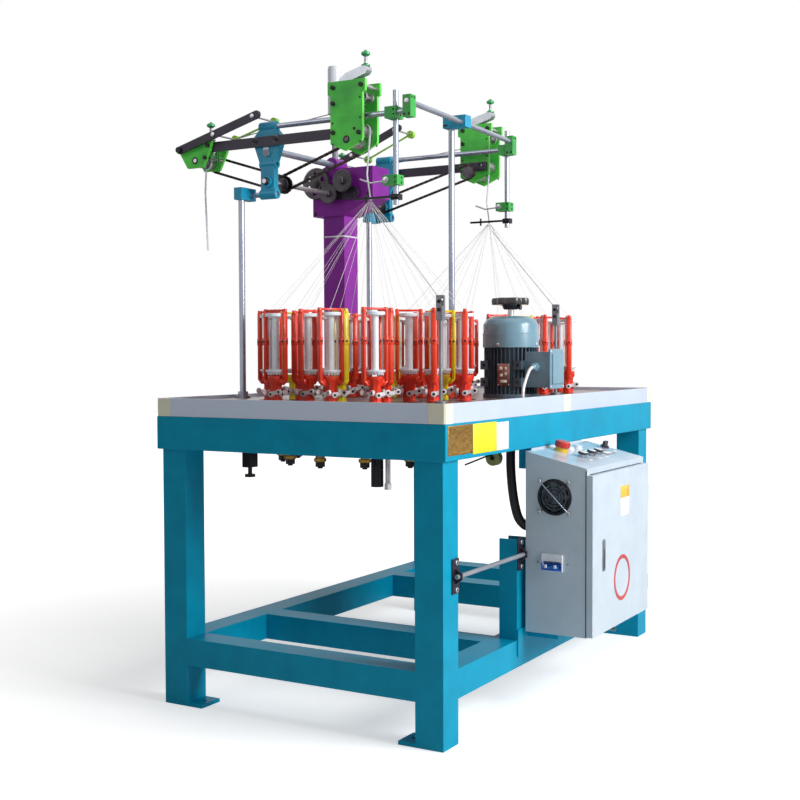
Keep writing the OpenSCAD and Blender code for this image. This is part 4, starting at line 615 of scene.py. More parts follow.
def carrierPlaces(pale=None):
    # (place of the carrier, its head, its index on the ring, which of the two, its x and y)
    horn = heads["ring"] * math.sin(math.pi / heads["count"])
    found = []
    for h, middle in enumerate((heads["front"], heads["rear"])):
        for i in range(heads["count"]):
            for k in (0, 1):
                isPale = k == 1 and (i + h) % 3 == 0
                if pale is not None and pale != isPale:
                    continue
                x, y, ring = hornPlace(i, middle)
                angle = ring + math.radians(carrierTurn(i, k))
                x += horn * math.cos(angle)
                y += horn * math.sin(angle)
                turn = 360 * i / heads["count"] + carrierTurn(i, k) + 90
                found.append((shift(x, y, 0) @ spin(turn), h, i, k, x, y))
    return found


def carrierSpots(pale=None):
    return [each[0] for each in carrierPlaces(pale)]


def makeCarrierBody(material):
    h, r, z0 = carrier["bodyHeight"], carrier["bodyWidth"] / 2, carrier["bed"]
    steps = [
        (r - 5, 0), (r - 4.4, 0.6), (r - 4.4, 4.6), (r - 5, 5.2), (r - 9, 6), (r - 9, 26),
        (r - 9, h * 0.68), (r - 5, h * 0.78), (r - 0.6, h * 0.88), (r, h * 0.9), (r, h - 0.6),
        (r - 0.6, h), (4, h)
    ]
    body = turned("carrierBody", [(radius, z0 + z) for radius, z in steps], material, 24)
    edit(body)
    # every third line of the barrel is drawn out into a rib
    low, high = (z0 + 5.6) * mm, (z0 + h * 0.8) * mm
    onRib = lambda v: round(math.degrees(math.atan2(v.co.y, v.co.x)) / 15) % 3 == 0
    selectVertices(body, lambda v: low < v.co.z < high and onRib(v))
    bpy.ops.transform.resize(value=(1.3, 1.3, 1), center_override=(0, 0, 0))
    endEdit()
    return body


def makeCarrierPost(material):
    # flat post with its mid-height boss and top ear, its foot bent in towards the barrel
    z0, top = carrier["bed"] + carrier["bodyHeight"], carrier["postHeight"]
    half, wide, mid = carrier["post"] / 2, carrier["postWide"] / 2, top * carrier["boss"]
    post = block(
        "carrierPost", (-half, -wide, z0 - 14), (half, wide, z0 + top + 1), material, 1.6, 1
    )
    foot = block("postFoot", (-half, -wide, z0 - 24), (half, wide, z0 - 11), material, 1.6, 1)
    edit(foot)
    selectVertices(foot, lambda v: v.co.z < (z0 - 18) * mm)
    bpy.ops.transform.translate(value=(-9 * mm, 0, 0))
    endEdit()
    boss = block(
        "postBoss", (-half - 1.5, -wide - 1.5, z0 + mid - 12),
        (half + 1.5, wide + 1.5, z0 + mid + 12), material, 3, 1
    )
    ear = block(
        "postEar", (-half - 0.8, -wide * 0.62, z0 + top - 6),
        (half + 0.8, wide * 0.62, z0 + top + 8.4), material, 1.4, 1
    )
    return joined("carrierPost", [post, foot, boss, ear])


def makeCarrierHoles():
    # dark discs on the bosses, painted shade standing in for holes through them, seen from all four
    # sides
    z = carrier["bed"] + carrier["bodyHeight"] + carrier["postHeight"] * carrier["boss"]
    out, half, wide = carrier["postOut"], carrier["post"] / 2 + 1.5, carrier["postWide"] / 2 + 1.5
    hole = turned("bossHoles", [(3.2, 0), (3.2, 0.4), (2, 0.5)], paintedHoleShade, 10)
    places = []
    for x in (-out, out):
        places += [
            faceY(x, -wide, z), faceBack(x, wide, z), faceLeft(x - half, 0, z),
            faceRight(x + half, 0, z)
        ]
    return copied(hole, places)


def makeCarrierLink(material):
    z = carrier["bed"] + carrier["bodyHeight"] + carrier["postHeight"]
    out = carrier["postOut"]
    bar = block(
        "carrierLink", (-out - 2, -3.4, z + 1), (out + 2, 3.4, z + 7), material, bevel=1.2,
        segments=1
    )
    edit(bar)
    # the bar swells where the yarn leaves it
    selectAll()
    bpy.ops.mesh.subdivide(number_cuts=2)
    selectVertices(bar, lambda v: abs(v.co.x) < 12 * mm)
    bpy.ops.transform.resize(value=(1, 1.5, 1), center_override=(0, 0, z * mm))
    endEdit()
    steps = [(2.2, 6), (3.6, 6.4), (3.6, 7.6), (2.6, 8.4), (1.4, 7.6), (1.4, 6)]
    eye = turned("yarnEye", [(r, z + high) for r, high in steps], whitePlastic, 12)
    return [bar, eye]


def makeLever():
    # a white pawl lever: two round ends with dark pins, joined by a broad arm
    arm = outline(
        "pawl",
        [(-14, -6.6), (-3, -4.6), (5, -5), (14, -6.6), (14, 6.6), (5, 5.4), (-3, 6.2), (-14, 6.6)],
        5, leverPlastic, 0.5
    )
    eye = turned(
        "pawlEye", [(7.6, 0), (7.6, 6), (6.6, 6.6), (4.2, 6.6), (4.2, 5)], leverPlastic, 14
    )
    dark = turned("pawlPin", [(4, 4.6), (4, 5.9), (2, 6.1)], boltBlack, 10)
    eyes = copied(joined("eye", [eye, dark]), [faceY(s * 14, 5.4, 0) for s in (-1, 1)])
    return joined("lever", [arm, eyes])


def makeCarriers():
    for name, material, pale in (
        ("orangeCarriers", orangePlastic, False), ("yellowCarriers", yellowPlastic, True)
    ):
        out = carrier["postOut"]
        posts = copied(
            makeCarrierPost(material), [turn @ shift(out, 0, 0) for turn in (spin(0), spin(180))]
        )
        z1 = carrier["bed"] + carrier["bodyHeight"]
        saddle = block(
            "saddle", (6 - out, -6, z1 - 25), (out - 6, 6, z1 - 8), material, bevel=1, segments=1
        )
        barrel = makeCarrierBody(material)
        one = joined(name, [barrel, posts, saddle, makeCarrierHoles(), *makeCarrierLink(material)])
        scatter(one, carrierSpots(pale), name, ["carriers"])
    lever = makeLever()
    z = carrier["bed"] + 25.7
    reach = carrier["bodyWidth"] / 2 - 5 + 0.3
    inner = [
        shift(13, -reach - 5.4, z) @ spin(-14, "Y"),
        shift(-13, reach + 5.4, z) @ spin(180) @ spin(-14, "Y")
    ]
    pair = copied(
        lever, [turn @ place for turn in (spin(0), spin(90)) for place in inner], "pawlLevers"
    )
    scatter(pair, carrierSpots(), "pawlLevers")


def makeBobbins():
    z, h, r, b = bobbin["bottom"], bobbin["height"], bobbin["flange"], bobbin["core"]
    steps = [
        (3.2, z + 1), (r - 14, z), (r - 12, z + 3.4), (r - 4, z + 4), (r, z + 9), (r, z + 12),
        (r - 1.4, z + 12.8), (b + 6, z + 9), (b, z + 13)
    ]
    steps += [
        (b, z + h - 13), (b + 4, z + h - 9.6), (r - 1, z + h - 9), (r, z + h - 8), (r, z + h - 1.2),
        (r - 1.2, z + h), (3.2, z + h)
    ]
    one = turned("bobbin", steps, bobbinPlastic, 36)
    tooth = block(
        "ratchetTooth", (r - 10, -1.7, z - 1), (r - 4.6, 1.7, z + 6), bobbinPlastic, 0.3, 1
    )
    one = joined("bobbin", [one, copied(tooth, [spin(22.5 * k) for k in range(16)])])
    scatter(one, carrierSpots(), "bobbinSet", ["bobbins"])


def makeShaftNuts():
    # collar and nut on each horn gear's shaft, seen under the table
    low = 698
    steps = [(9, 1), (17, 1), (17, -6), (15, -8), (9, -8)]
    flange = turned("shaftFlange", [(r, low + z) for r, z in steps], brass, 20)
    steps = [(12, -8), (13, -9), (13, -21), (11, -22), (7, -22), (7, -26)]
    nut = turned("shaftNut", [(r, low + z) for r, z in steps], boltBlack, 6)
    places = []
    for middle in (heads["front"], heads["rear"]):
        places += [shift(*hornPlace(i, middle)[:2], 0) for i in range(heads["count"])]
    scatter(joined("shaftNuts", [flange, nut]), places, "shaftNuts")


def makeYarns():
    # one thin yarn from each carrier's eye to the ring round its braiding point
    start = carrier["bed"] + carrier["bodyHeight"] + carrier["postHeight"] + 7.6
    for h, name in enumerate(("frontYarns", "rearYarns")):
        routes = []
        for _, head, i, k, x, y in carrierPlaces():
            if head != h:
                continue
            turn = math.radians(360 * i / heads["count"] + 10 + (-7.5 if k == i % 2 else 7.5))
            out = (braid["ring"] * math.cos(turn), braid["ring"] * math.sin(turn))
            tip = (braid["x"][h] + out[0], braid["y"][h] + out[1], braid["z"])
            routes.append([(x, y, start), tip])
        done(strandCurve(name, routes, 0.84, 1, yarnWhite), ["yarns"])


makeCarriers()
makeBobbins()
makeShaftNuts()
makeYarns()
print("carriers, bobbins and yarns made")


# column, gearbox and arms

column = {"x": -335, "foot": 56, "tieZ": 1358, "tieHalf": 41.2}
gearboxScrews = (
    (-400, -50, 1436), (-400, -50, 1540), (-196, -50, 1490), (-196, -50, 1566), (-300, -50, 1566)
)
station = {
    "lineX": (-330, -375), "lineZ": 1494, "barY": (-416, 361), "barThick": 10, "barZ": 1612,
    "armY": (-395, 350)
}
tall = {"x": (-38, -34), "y": (-426, 371), "top": 1756, "plate": 10, "gap": 70, "shaftZ": 1590}
end = {"x": (-588, -560), "y": (-426, 271), "shaftZ": 1574}
plateScrews = ((-44, 1739), (50, 1739), (-44, 1694), (-44, 1612))
gears = {"pitch": 9.525, "teeth": 15, "topY": (-331, 322), "endY": (-317, 261)}


def makeSocketBolt(head, height, metal=boltBlack):
    # cap screw standing along Z with its hexagon socket
    profile = [
        (head, 0), (head, height - 0.8), (head - 0.8, height), (head * 0.5, height),
        (head * 0.45, height * 0.5)
    ]
    bolt = turned("capScrew", profile, metal, 24)
    # the socket is a flat dark hexagon on the head: painted shade over its recess
    socket = turned(
        "socket", [(head * 0.5, height - 0.6), (head * 0.5, height + 0.05), (0.3, height + 0.06)],
        paintedHoleShade, 6
    )
    return joined("capScrew", [bolt, socket])


def makeColumnAndGearbox():
    x, half, tie, foot = column["x"], column["tieHalf"], column["tieZ"], column["foot"]
    softened("column", 1.5, purplePaint, slot="column_paint")
    softened(
        "gearbox", 2.2, purplePaint, (blackSteel, lambda c: c.y < -56.15), slot="gearbox_paint"
    )
    places = [faceY(*spot) for spot in gearboxScrews]
    scatter(makeSocketBolt(5, 4), places, "gearboxScrews")
    feet = [shift(x + dx, dy, 862) for dx in (-foot, foot) for dy in (-foot, foot)]
    scatter(makeSocketBolt(8, 8), feet, "columnScrews")
    paint("status_lamp", lampPlastic, (greyPlastic, lambda c: c.z < 1765.8))
    band = block("columnTie", (x - half, -half, tie), (x + half, half, tie + 5), whitePlastic)
    done(band)


def makeTubes():
    paint("arm_tubes", chrome)
    softened("arm_brackets", 1.4, bracketPaint, slot="bracket_paint")
    bluePost = lambda c: c.x < -380 or (abs(c.y + 30) < 22 and c.z > 1660)
    softened("clamp_blocks", 1.0, clampPaint, (bracketPaint, bluePost), slot="clamp_paint")
    softened("flat_bars", 0.8, blackSteel, slot="black_steel")
    screws, rings = [], []
    for s, face, out in bothSides:
        y, z = station["barY"][s] + s * station["barThick"], station["barZ"] + 4
        for dx in (-38, 38):
            rings.append(face(station["lineX"][s] + dx, y, z))
            screws.append(face(station["lineX"][s] + dx, y + out * 5.8, z))
    profile = [(7.8, 0), (10.5, 0), (10.5, 1.2), (10.1, 1.6), (7.8, 1.6)]
    washer = turned("washer", profile, gearSteel, 28, tube=True)
    scatter(washer, rings, "barWashers")
    scatter(makeSocketBolt(7.2, 1.2), screws, "barScrews")


def makeClampScrews():
    # sunk screws in the clamp faces as dark discs of painted shade, bright ends of rods and finger
    # nuts
    hole = turned("clampSocket", [(3.4, 0), (3.4, 0.5), (2.6, 0.5), (2.2, 0.2)], paintedHoleShade, 14)
    places = []
    for x, y, z, wide in (
        (95, -385, 1657, 36), (88, 360, 1657, 36), (89, -381, 1470, 48), (82, 364, 1470, 48)
    ):
        places += [faceRight(x + wide / 2, y + 6, z + dz) for dz in (-7, 7)]
    for x, y in ((150, -395), (112, 350)):
        for d in (-7, 7):
            places += [faceY(x + d, y - 15, 1646), faceRight(x + 13, y + d, 1693)]
    places += [faceY(x, -49, 1676) for x in (74, 82)]
    scatter(hole, places, "clampSockets")
    disc = turned("rodEnd", [(7.4, 0), (7.4, 0.7), (6.6, 1.2)], steel, 24)
    scatter(disc, [faceY(150, -410, 1682), faceBack(112, 365, 1682)], "rodEnds")
    knob = turned("fingerNut", [(9, 0), (9, 2), (6, 2.4), (6, 8), (4, 9)], steel, 20)
    scatter(knob, [faceY(76, -400, 1470), faceY(69, 345, 1470)], "fingerNuts")


def makeBracketDetails():
    pads, screws = [], []
    for s, face, out in bothSides:
        x, y = station["lineX"][s], station["armY"][s] + out * 11
        pads.append(face(x, y, 1578))
        screws += [face(x + dx, y - out * 2, 1552) for dx in (-20, 20)]
    pad = turned("castPad", [(10.4, 0), (10.4, 8), (9.8, 8.8), (2, 8.9)], greyPlastic, 26)
    scatter(pad, pads, "castPads")
    scatter(makeSocketBolt(3.6, 2), screws, "castScrews")


makeColumnAndGearbox()
makeTubes()
makeClampScrews()
makeBracketDetails()
print("column, gearbox and arms made")


# take-up units

def makeFrames():
    # black screw heads outside the plates, bright spacers between them
    for node, unit, reach in (("top_frames", tall, 11), ("end_frames", end, 31)):
        front, rear = unit["y"][0] - 0.05, unit["y"][1] - 0.05
        spacers = lambda c, ys=unit["y"]: any(y + 10.1 < c.y < y + 79.9 for y in ys)
        caps = lambda c, a=front, b=rear, reach=reach: c.y < a or b - reach < c.y < b
        softened(node, 1.0, greenPaint, (boltBlack, caps), (steel, spacers), slot="takeup_paint")


def makePlateHoles():
    # small screw holes along the edges of the tall plates as dark discs of painted shade, and the
    # shaft ends with their rings
    hole = turned("plateHole", [(3, 0), (3, 0.4), (2.2, 0.4), (1.8, 0.1)], paintedHoleShade, 12)
    wide = 2 * tall["plate"] + tall["gap"]
    holes, corners, shafts = [], [], []
    for s, face, _ in bothSides:
        x, y = tall["x"][s], tall["y"][s]
        for dx, dz in ((46, 52), (46, 108), (-46, 118), (46, 176), (-46, 178)):
            z = tall["top"] - dz
            holes += [faceY(x + dx, y, z), faceBack(x + dx, y + wide, z)]
        corners += [faceY(x + dx, y - 6, z) for dx, z in plateScrews if s == 0 or z > 1650]
        shafts += [
            face(unit["x"][s], unit["y"][s] + s * wide, unit["shaftZ"]) for unit in (tall, end)
        ]
    scatter(hole, holes, "plateHoles")
    scatter(makeSocketBolt(6.5, 0.6), corners, "spacerSockets")
    big = faceY(tall["x"][0] + 42, tall["y"][0], 1606)
    scatter(makeSocketBolt(6.5, 6), [big], "plateScrew")
    profile = [(7.3, 0), (11, 0), (11, 0.8), (9, 1.6), (7.3, 1.6)]
    rings = copied(turned("bearingRing", profile, boltBlack, 30, tube=True), shafts)
    cores = []
    for place, material in zip(shafts, (gearSteel, steel, gearSteel, steel)):
        core = turned("shaftEnd", [(6.6, 0), (6.6, 1.2), (5.8, 1.8)], material, 24)
        cores.append(moved(core, place))
    done(joined("shaftFaces", [rings, *cores]))


def makeRacks():
    # a fine toothed strip behind the right edge of each tall unit's front plate
    teeth = []
    for s in (0, 1):
        x, y = tall["x"][s] + 44, tall["y"][s] + tall["plate"]
        teeth.append(block("rackBack", (x, y, 1640), (x + 3, y + 10, 1734), boltBlack, 0.4, 1))
        for z in range(1642, 1732, 8):
            teeth.append(
                block("rackTooth", (x + 2, y + 1, z), (x + 8, y + 9, z + 4), gearSteel, 0.5, 1)
            )
    done(joined("plateRacks", teeth))


def makeRibbonGuides():
    # two upright green strips at each end unit, to lead the ribbon
    strips = []
    for s, y in ((0, -390), (1, 307)):
        x = end["x"][s] + 54
        for dy in (0, 9):
            low, high = (x, y + dy, 1540), (x + 4, y + dy + 4, 1632)
            strips.append(block("guideStrip", low, high, clampPaint, 0.8, 1))
        knob = turned("guideKnob", [(2, 0), (6, 0.4), (6, 4), (2, 4.4)], clampPaint, 16)
        strips.append(copied(knob, [faceRight(x - 0.2, y + 6.5, z) for z in (1546, 1624)]))
        strips.append(
            block("guideFoot", (x - 3, y - 27, 1583), (x + 1, y + 42, 1587), clampPaint, 0.8, 1)
        )
    done(joined("ribbonGuides", strips))


def makeRollers():
    for s, side in enumerate(("front", "rear")):
        for unit in ("top", "end"):
            y = gears[unit + "Y"][s]
            paint(f"{side}_{unit}_roller", steel, (gearSteel, lambda c, y=y: abs(c.y - y) < 6.1))
        paint(f"{side}_top_nip", steel, (boltBlack, lambda c: c.y < -416 or c.y > 441))


# pivot, middle and size of each pressure lever, and where its screw stands from the pivot
levers = {
    "front_top": ((-82, 1739), -381, 1), "rear_top": ((-78, 1739), 416, 1),
    "front_end": ((-612, 1612), -381, 0.62), "rear_end": ((-584, 1612), 316, 0.62),
}
leverScrew = (82, 60)


def makeLevers():
    for name, (pivot, y, k) in levers.items():
        x, z = pivot[0] + leverScrew[0] * k, pivot[1] + leverScrew[1] * k + 0.3

        def away(c, x=x, y=y):
            return math.hypot(c.x - x, c.y - y)

        cup = lambda c, z=z, away=away: c.z > z - 0.05 and away(c) > 2.55
        screw = lambda c, z=z, away=away: c.z > z - 0.05 and away(c) <= 2.55
        wire = lambda c, z=z, away=away: z + 9.1 < c.z < z + 27.5 and 3.5 < away(c) < 5.6
        node = name + "_lever"
        softened(
            node, 0.8, castMetal, (knobGreen, cup), (steel, screw), (steel, wire), angle=40,
            slot="lever_metal", body=node
        )
        cap = turned(
            "knobCap", [(2.4, 0), (4.6, 0), (4.8, 3), (3.4, 4.4), (2.4, 4.4)], knobGreen, 18
        )
        moved(cap, shift(x, y, z + 41.5))
        done(cap, body=node)
        cap.name = name + "KnobCap"


swing = {
    "x": (-638, -610), "y": (-434.3, 262.7), "z": 1608, "angle": (15.3, 22.5), "reach": (304, 370)
}


def makeSwingArms():
    for s, side in enumerate(("front", "rear")):
        y, reach = swing["y"][s], swing["reach"][s]
        pins = lambda c, y=y: y + 2.05 < c.y
        rollers = lambda c, y=y: y + 97.9 < c.y < y + 114.1
        node = side + "_swing_arm"
        softened(
            node, 0.8, blackSteel, (steel, pins), (limePlastic, rollers), slot="black_steel",
            body=node
        )
        # lime link between the two guide rollers and bright nuts on the arm
        turn = shift(swing["x"][s], y, swing["z"]) @ spin(-swing["angle"][s], "Y")
        link = block("guideLink", (reach * 0.45, 101, -3), (reach - 14, 105, 3), limePlastic, 1)
        nut = turned("armNut", [(7, 0), (7, 3), (5, 4)], steel, 20)
        nuts = copied(nut, [faceY(reach * 0.45, -6, 0), faceY(reach - 14, -6, 0)])
        hub = makeSocketBolt(8, 5)
        moved(hub, faceY(0, -6, 0))
        for piece, title in ((link, "GuideLink"), (nuts, "ArmNuts"), (hub, "ArmHub")):
            moved(piece, turn)
            piece.name = side + title
            done(piece, body=node)


def makeLink(wide):
    # one chain link along X: two waisted plates and its bush
    half, high = gears["pitch"] / 2, 4.1
    points = [
        (-half - 3, -2.4), (-half, -high), (0, -3), (half, -high), (half + 3, -2.4),
        (half + 3, 2.4), (half, high), (0, 3), (-half, high), (-half - 3, 2.4)
    ]
    plates = []
    for y in (-wide / 2, wide / 2 - 1):
        plates.append(moved(outline("linkPlate", points, 1.0, chainSteel, 0), shift(0, y, 0)))
    bush = moved(turned("bush", [(2.4, 0), (2.4, wide)], chainSteel, 8), faceY(half, wide / 2, 0))
    return joined("chainLink", [*plates, bush])


def loopPoint(s, length, radius):
    arc = math.pi * radius
    if s < length:
        return s, radius, 0
    if s < length + arc:
        a = (s - length) / radius
        return length + radius * math.sin(a), radius * math.cos(a), -math.degrees(a)
    if s < 2 * length + arc:
        return 2 * length + arc - s, -radius, 180
    a = (s - 2 * length - arc) / radius
    return -radius * math.sin(a), -radius * math.cos(a), 180 - math.degrees(a)


def makeChains():
    radius = gears["pitch"] / 2 / math.sin(math.pi / gears["teeth"])
    runs = []
    for s in (0, 1):
        line = (station["lineX"][s], station["lineZ"])
        runs.append((line, (tall["x"][s], tall["shaftZ"]), gears["topY"][s]))
        runs.append(((end["x"][s], end["shaftZ"]), line, gears["endY"][s]))
    made = []
    for a, b, y in runs:
        length = math.dist(a, b)
        count = 2 * int((2 * length + 2 * math.pi * radius) / gears["pitch"] / 2)
        step = (2 * length + 2 * math.pi * radius) / count
        slope = math.degrees(math.atan2(b[1] - a[1], b[0] - a[0]))
        base = shift(a[0], y, a[1]) @ spin(-slope, "Y")
        for parity, wide in ((0, 7), (1, 5)):
            places = []
            for k in range(parity, count, 2):
                x, z, turn = loopPoint(k * step, length, radius)
                places.append(base @ shift(x, 0, z) @ spin(-turn, "Y"))
            made.append(copied(makeLink(wide), places, "chainRun"))
    done(joined("rollerChains", made), ["chains"])


nip = {"apart": 38.3, "aside": 26}


def ribbonRoute(s):
    # the source's route: up from the braiding point, over the nip, along the arm
    # and down from the end roller
    x, y = braid["x"][s], braid["y"][s]
    tallX, endX = tall["x"][s], end["x"][s]
    plate, middle = tall["plate"], tall["plate"] + tall["gap"] / 2 + 8
    ribbonY = tall["y"][s] + (middle, 2 * plate)[s]
    endY = end["y"][s] + middle
    nipZ = tall["shaftZ"] + math.sqrt(nip["apart"] ** 2 - nip["aside"] ** 2)

    def wrap(cx, cz, cy, r, a0, a1):
        angles = [math.radians(a0 + (a1 - a0) * i / 6) for i in range(7)]
        return [(cx + r * math.cos(a), cy, cz + r * math.sin(a)) for a in angles]

    return [
        (x, y, 1420), (x, y, 1430), (tallX + 36, ribbonY, 1494),
        *wrap(tallX + nip["aside"], nipZ, ribbonY, 21.5, -10, 100),
        (tallX - 27, ribbonY, 1685), (tallX - 380, ribbonY - 12 * s, 1645),
        (endX + 44, endY, 1624),
        *wrap(endX, end["shaftZ"], endY, 22, 20, -90),
        (endX - 4, endY, 1484), (endX, endY, 1390), (endX + 4, endY, 1304),
    ]


def makeRibbons():
    # a woven strip on its own map: along its length in widths, across from 0 to 1
    for s, name in enumerate(("frontRibbon", "rearRibbon")):
        route = [Vector(p) for p in ribbonRoute(s)]
        mesh = bpy.data.meshes.new(name)
        shape = bmesh.new()
        layer = shape.loops.layers.uv.new("strip")
        rows, along = [], [0]
        for i, point in enumerate(route):
            ahead = route[min(i + 1, len(route) - 1)] - route[max(i - 1, 0)]
            out = Vector((-ahead.z, 0, ahead.x)).normalized()
            half = (6, 2.7) if i == 0 else (4, 0.45)
            corners = ((-1, -1), (1, -1), (1, 1), (-1, 1))
            ring = [point + Vector((0, a * half[0], 0)) + out * b * half[1] for a, b in corners]
            rows.append([shape.verts.new(corner * mm) for corner in ring])
            if i:
                along.append(along[-1] + (point - route[i - 1]).length / 8)
        for i in range(len(route) - 1):
            for k in range(4):
                n = (k + 1) % 4
                face = shape.faces.new((rows[i][k], rows[i][n], rows[i + 1][n], rows[i + 1][k]))
                for loop, across, step in zip(face.loops, (k, n, n, k), (i, i, i + 1, i + 1)):
                    loop[layer].uv = (across % 2, along[step])
        shape.faces.new(rows[0][::-1])
        shape.faces.new(rows[-1])
        bmesh.ops.recalc_face_normals(shape, faces=shape.faces[:])
        shape.to_mesh(mesh)
        shape.free()
        mesh.materials.append(ribbonWeave)
        done(linked(name, mesh), ["yarns"])


makeFrames()
makePlateHoles()
makeRacks()
makeRibbonGuides()
makeRollers()
makeLevers()
makeSwingArms()
makeChains()
makeRibbons()
print("take-up units made")


# gears

def makeGearFinishes():
    lineZ = station["lineZ"]
    for node in ("change_gear_drive", "change_gear_large"):
        paint(node, gearSteel)
    # hexagon collars where the line shafts leave the brackets
    for s, node, y in ((0, "front_line_shaft", -407), (1, "rear_line_shaft", 362)):
        x = station["lineX"][s]
        paint(node, gearSteel, (steel, lambda c, x=x: math.hypot(c.x - x, c.z - lineZ) < 7.05))
        profile = [(7.3, 0), (13, 0), (13, 9), (11.6, 11), (7.3, 11)]
        collar = turned(node + "Collar", profile, boltBlack, 6, tube=True)
        done(moved(collar, bothSides[s][1](x, y, lineZ)), body=node)
    paint("drive_shaft", steel)
    paint("forming_guides", boltBlack, (steel, lambda c: c.z > 1455))
    # hexagon nuts on the gear studs
    for node, x, z in (
        ("change_gear_drive", -276.3, 1531.6), ("front_line_shaft", station["lineX"][0], lineZ)
    ):
        profile = [(11, 0), (12, 0.8), (12, 7), (11, 8), (6, 8), (6, 9.5)]
        nut = turned(node + "Nut", profile, gearSteel, 6)
        done(moved(nut, faceY(x, -87, z)), body=node)


makeGearFinishes()
print("gears made")


# motor

motor = {"x": 297, "y": -45, "bed": 850, "cowlRadius": 83, "cowlBottom": 999, "cowlHeight": 92}


def makeMotor():
    cx, cy = motor["x"], motor["y"]
    paint("motor_body", finPaint)
    softened("motor_cowl", 0.8, motorPaint, angle=45, slot="motor_paint")
    softened("terminal_box", 1.4, motorPaint, slot="motor_paint")
    r, z = motor["cowlRadius"], motor["cowlBottom"]
    steps = [(r + 0.3, z + 39.4), (r + 1.2, z + 40), (r + 1.2, z + 41.6), (r + 0.3, z + 42.2)]
    bead = turned("cowlBead", steps, motorPaint, 72, tube=True)
    done(moved(bead, shift(cx, cy, 0)))
    screw = turned("cowlScrew", [(4.6, 0), (4.6, 1.6), (3, 2.8), (1, 2.9)], steel, 20)
    places = []
    for angle in (-92, -2, 88, 178):
        turn = shift(cx, cy, z + 9) @ spin(angle) @ shift(r + 0.4, 0, 0) @ spin(90, "Y")
        places.append(turn)
    scatter(screw, places, "cowlScrews")
    # bare rating plate riveted across the fins, towards the front
    plate = {"turn": -80.5, "radius": 80.5, "z": (886, 952), "half": 19}
    r0, half, low, high = plate["radius"], plate["half"], *plate["z"]
    sheet = block("ratingPlate", (r0, -half, low), (r0 + 1.2, half, high), ratingPlateMetal, 0.4, 1)
    rivet = turned("plateRivet", [(1.8, 0), (1.8, 0.6), (1, 1.1)], steel, 12)
    corners = [faceRight(r0 + 1.2, y, zz) for y in (-16, 16) for zz in (low + 3.5, high - 3.5)]
    rivets = copied(rivet, corners)
    fields = []
    for y, zz, wide in ((-8, 938, 9), (7, 938, 6), (-7, 918, 9), (7, 922, 7), (0, 900, 20)):
        near, far = (r0 + 1.1, y - wide / 2, zz - 4), (r0 + 1.5, y + wide / 2, zz + 4)
        fields.append(block("plateField", near, far, creamPlastic, 0.1, 1))
    whole = joined("ratingPlate", [sheet, rivets, *fields])
    done(moved(whole, shift(cx, cy, 0) @ spin(plate["turn"])))
    # holes of the foot pads at the front, low and high, as dark discs of painted shade
    hole = turned("padHole", [(5, 0), (5, 0.4), (3.8, 0.5), (3.4, 0.2)], paintedHoleShade, 16)
    pads = [faceY(x, cy - 76, motor["bed"] + zz) for x in (cx - 52, cx + 56) for zz in (47, 97)]
    scatter(hole, pads, "padHoles")
    # lid screws and gland ring on the terminal box
    lid = turned("lidScrew", [(3.2, 0), (3.2, 1), (2, 2)], steel, 16)
    places = [faceRight(446, y, zz) for y in (-90, 0) for zz in (884, 986)]
    scatter(lid, places, "lidScrews")
    gland = turned("glandNut", [(8, 0), (9.5, 1), (9.5, 5), (7.4, 8), (5.4, 8.4)], motorPaint, 24)
    done(moved(gland, faceY(398, -107, 942)))


handWheel = {"grips": 7, "out": 0.235, "blunt": 0.6, "in": 0.03, "blades": 7}


def makeHandWheel():
    cx, cy = motor["x"], motor["y"]
    top = motor["cowlBottom"] + motor["cowlHeight"]
    shaft = turned("motorShaft", [(9.5, 780), (9.5, top + 49), (8.5, top + 50)], steel, 32)
    steps = [(20, 21), (22, 22.5), (27, 33), (30, 39), (30, 43)]
    hub = turned("wheelHub", [(r, top + z) for r, z in steps], blackPlastic, 40)
    steps = [(46, 35), (47, 36), (48, 45), (47, 53), (44, 55), (30, 52), (22, 50), (12, 50)]
    rim = turned("wheelRim", [(r, top + z) for r, z in steps], blackPlastic, 84)
    # the rim is drawn out at each grip
    for vertex in rim.data.vertices:
        angle = math.atan2(vertex.co.y, vertex.co.x)
        reach = math.hypot(vertex.co.x, vertex.co.y)
        if reach > 40 * mm:
            lobe = 0.5 + 0.5 * math.cos(handWheel["grips"] * angle)
            grow = 1 + handWheel["out"] * lobe ** handWheel["blunt"] - handWheel["in"]
            vertex.co.x *= grow
            vertex.co.y *= grow
    collar = turned(
        "wheelScrew", [(5, 0), (5, 9), (7.5, 10), (7.5, 15), (6.5, 16)], blackPlastic, 18
    )
    moved(collar, shift(18, 0, top + 27) @ spin(90, "Y"))
    blades = []
    low = motor["cowlBottom"] + 24
    for k in range(handWheel["blades"]):
        blade = block("fanBlade", (18, -1.5, low + 2), (71, 1.5, low + 26), blackPlastic, 0.6, 1)
        blades.append(moved(blade, spin(360 * k / handWheel["blades"])))
    fanHub = turned("fanHub", [(20, low), (20, low + 30)], blackPlastic, 32)
    wheel = joined("handWheel", [shaft, hub, rim, collar, fanHub, *blades])
    done(moved(wheel, shift(cx, cy, 0)), ["motor_rotor"], "motor_rotor")


makeMotor()
makeHandWheel()
print("motor made")


# control cabinet

panel = {
    "stop": (42, -143), "buttonU": 106,
    "buttons": (("start_button", -140), ("halt_button", -73), ("jog_button", -20))
}
fan = {"x": 545, "z": 590, "screwCircle": 60}
cabinet = {
    "x": 459, "y": -295, "z": 213, "wide": 180, "high": 500, "drop": 42,
    "doorGap": 0.3, "doorThick": 16
}


def onPanel(u, y, up=0):
    tilt = math.degrees(math.atan2(cabinet["drop"], cabinet["wide"]))
    top = cabinet["z"] + cabinet["high"]
    return shift(cabinet["x"], y, top) @ spin(tilt, "Y") @ shift(u, 0, up)


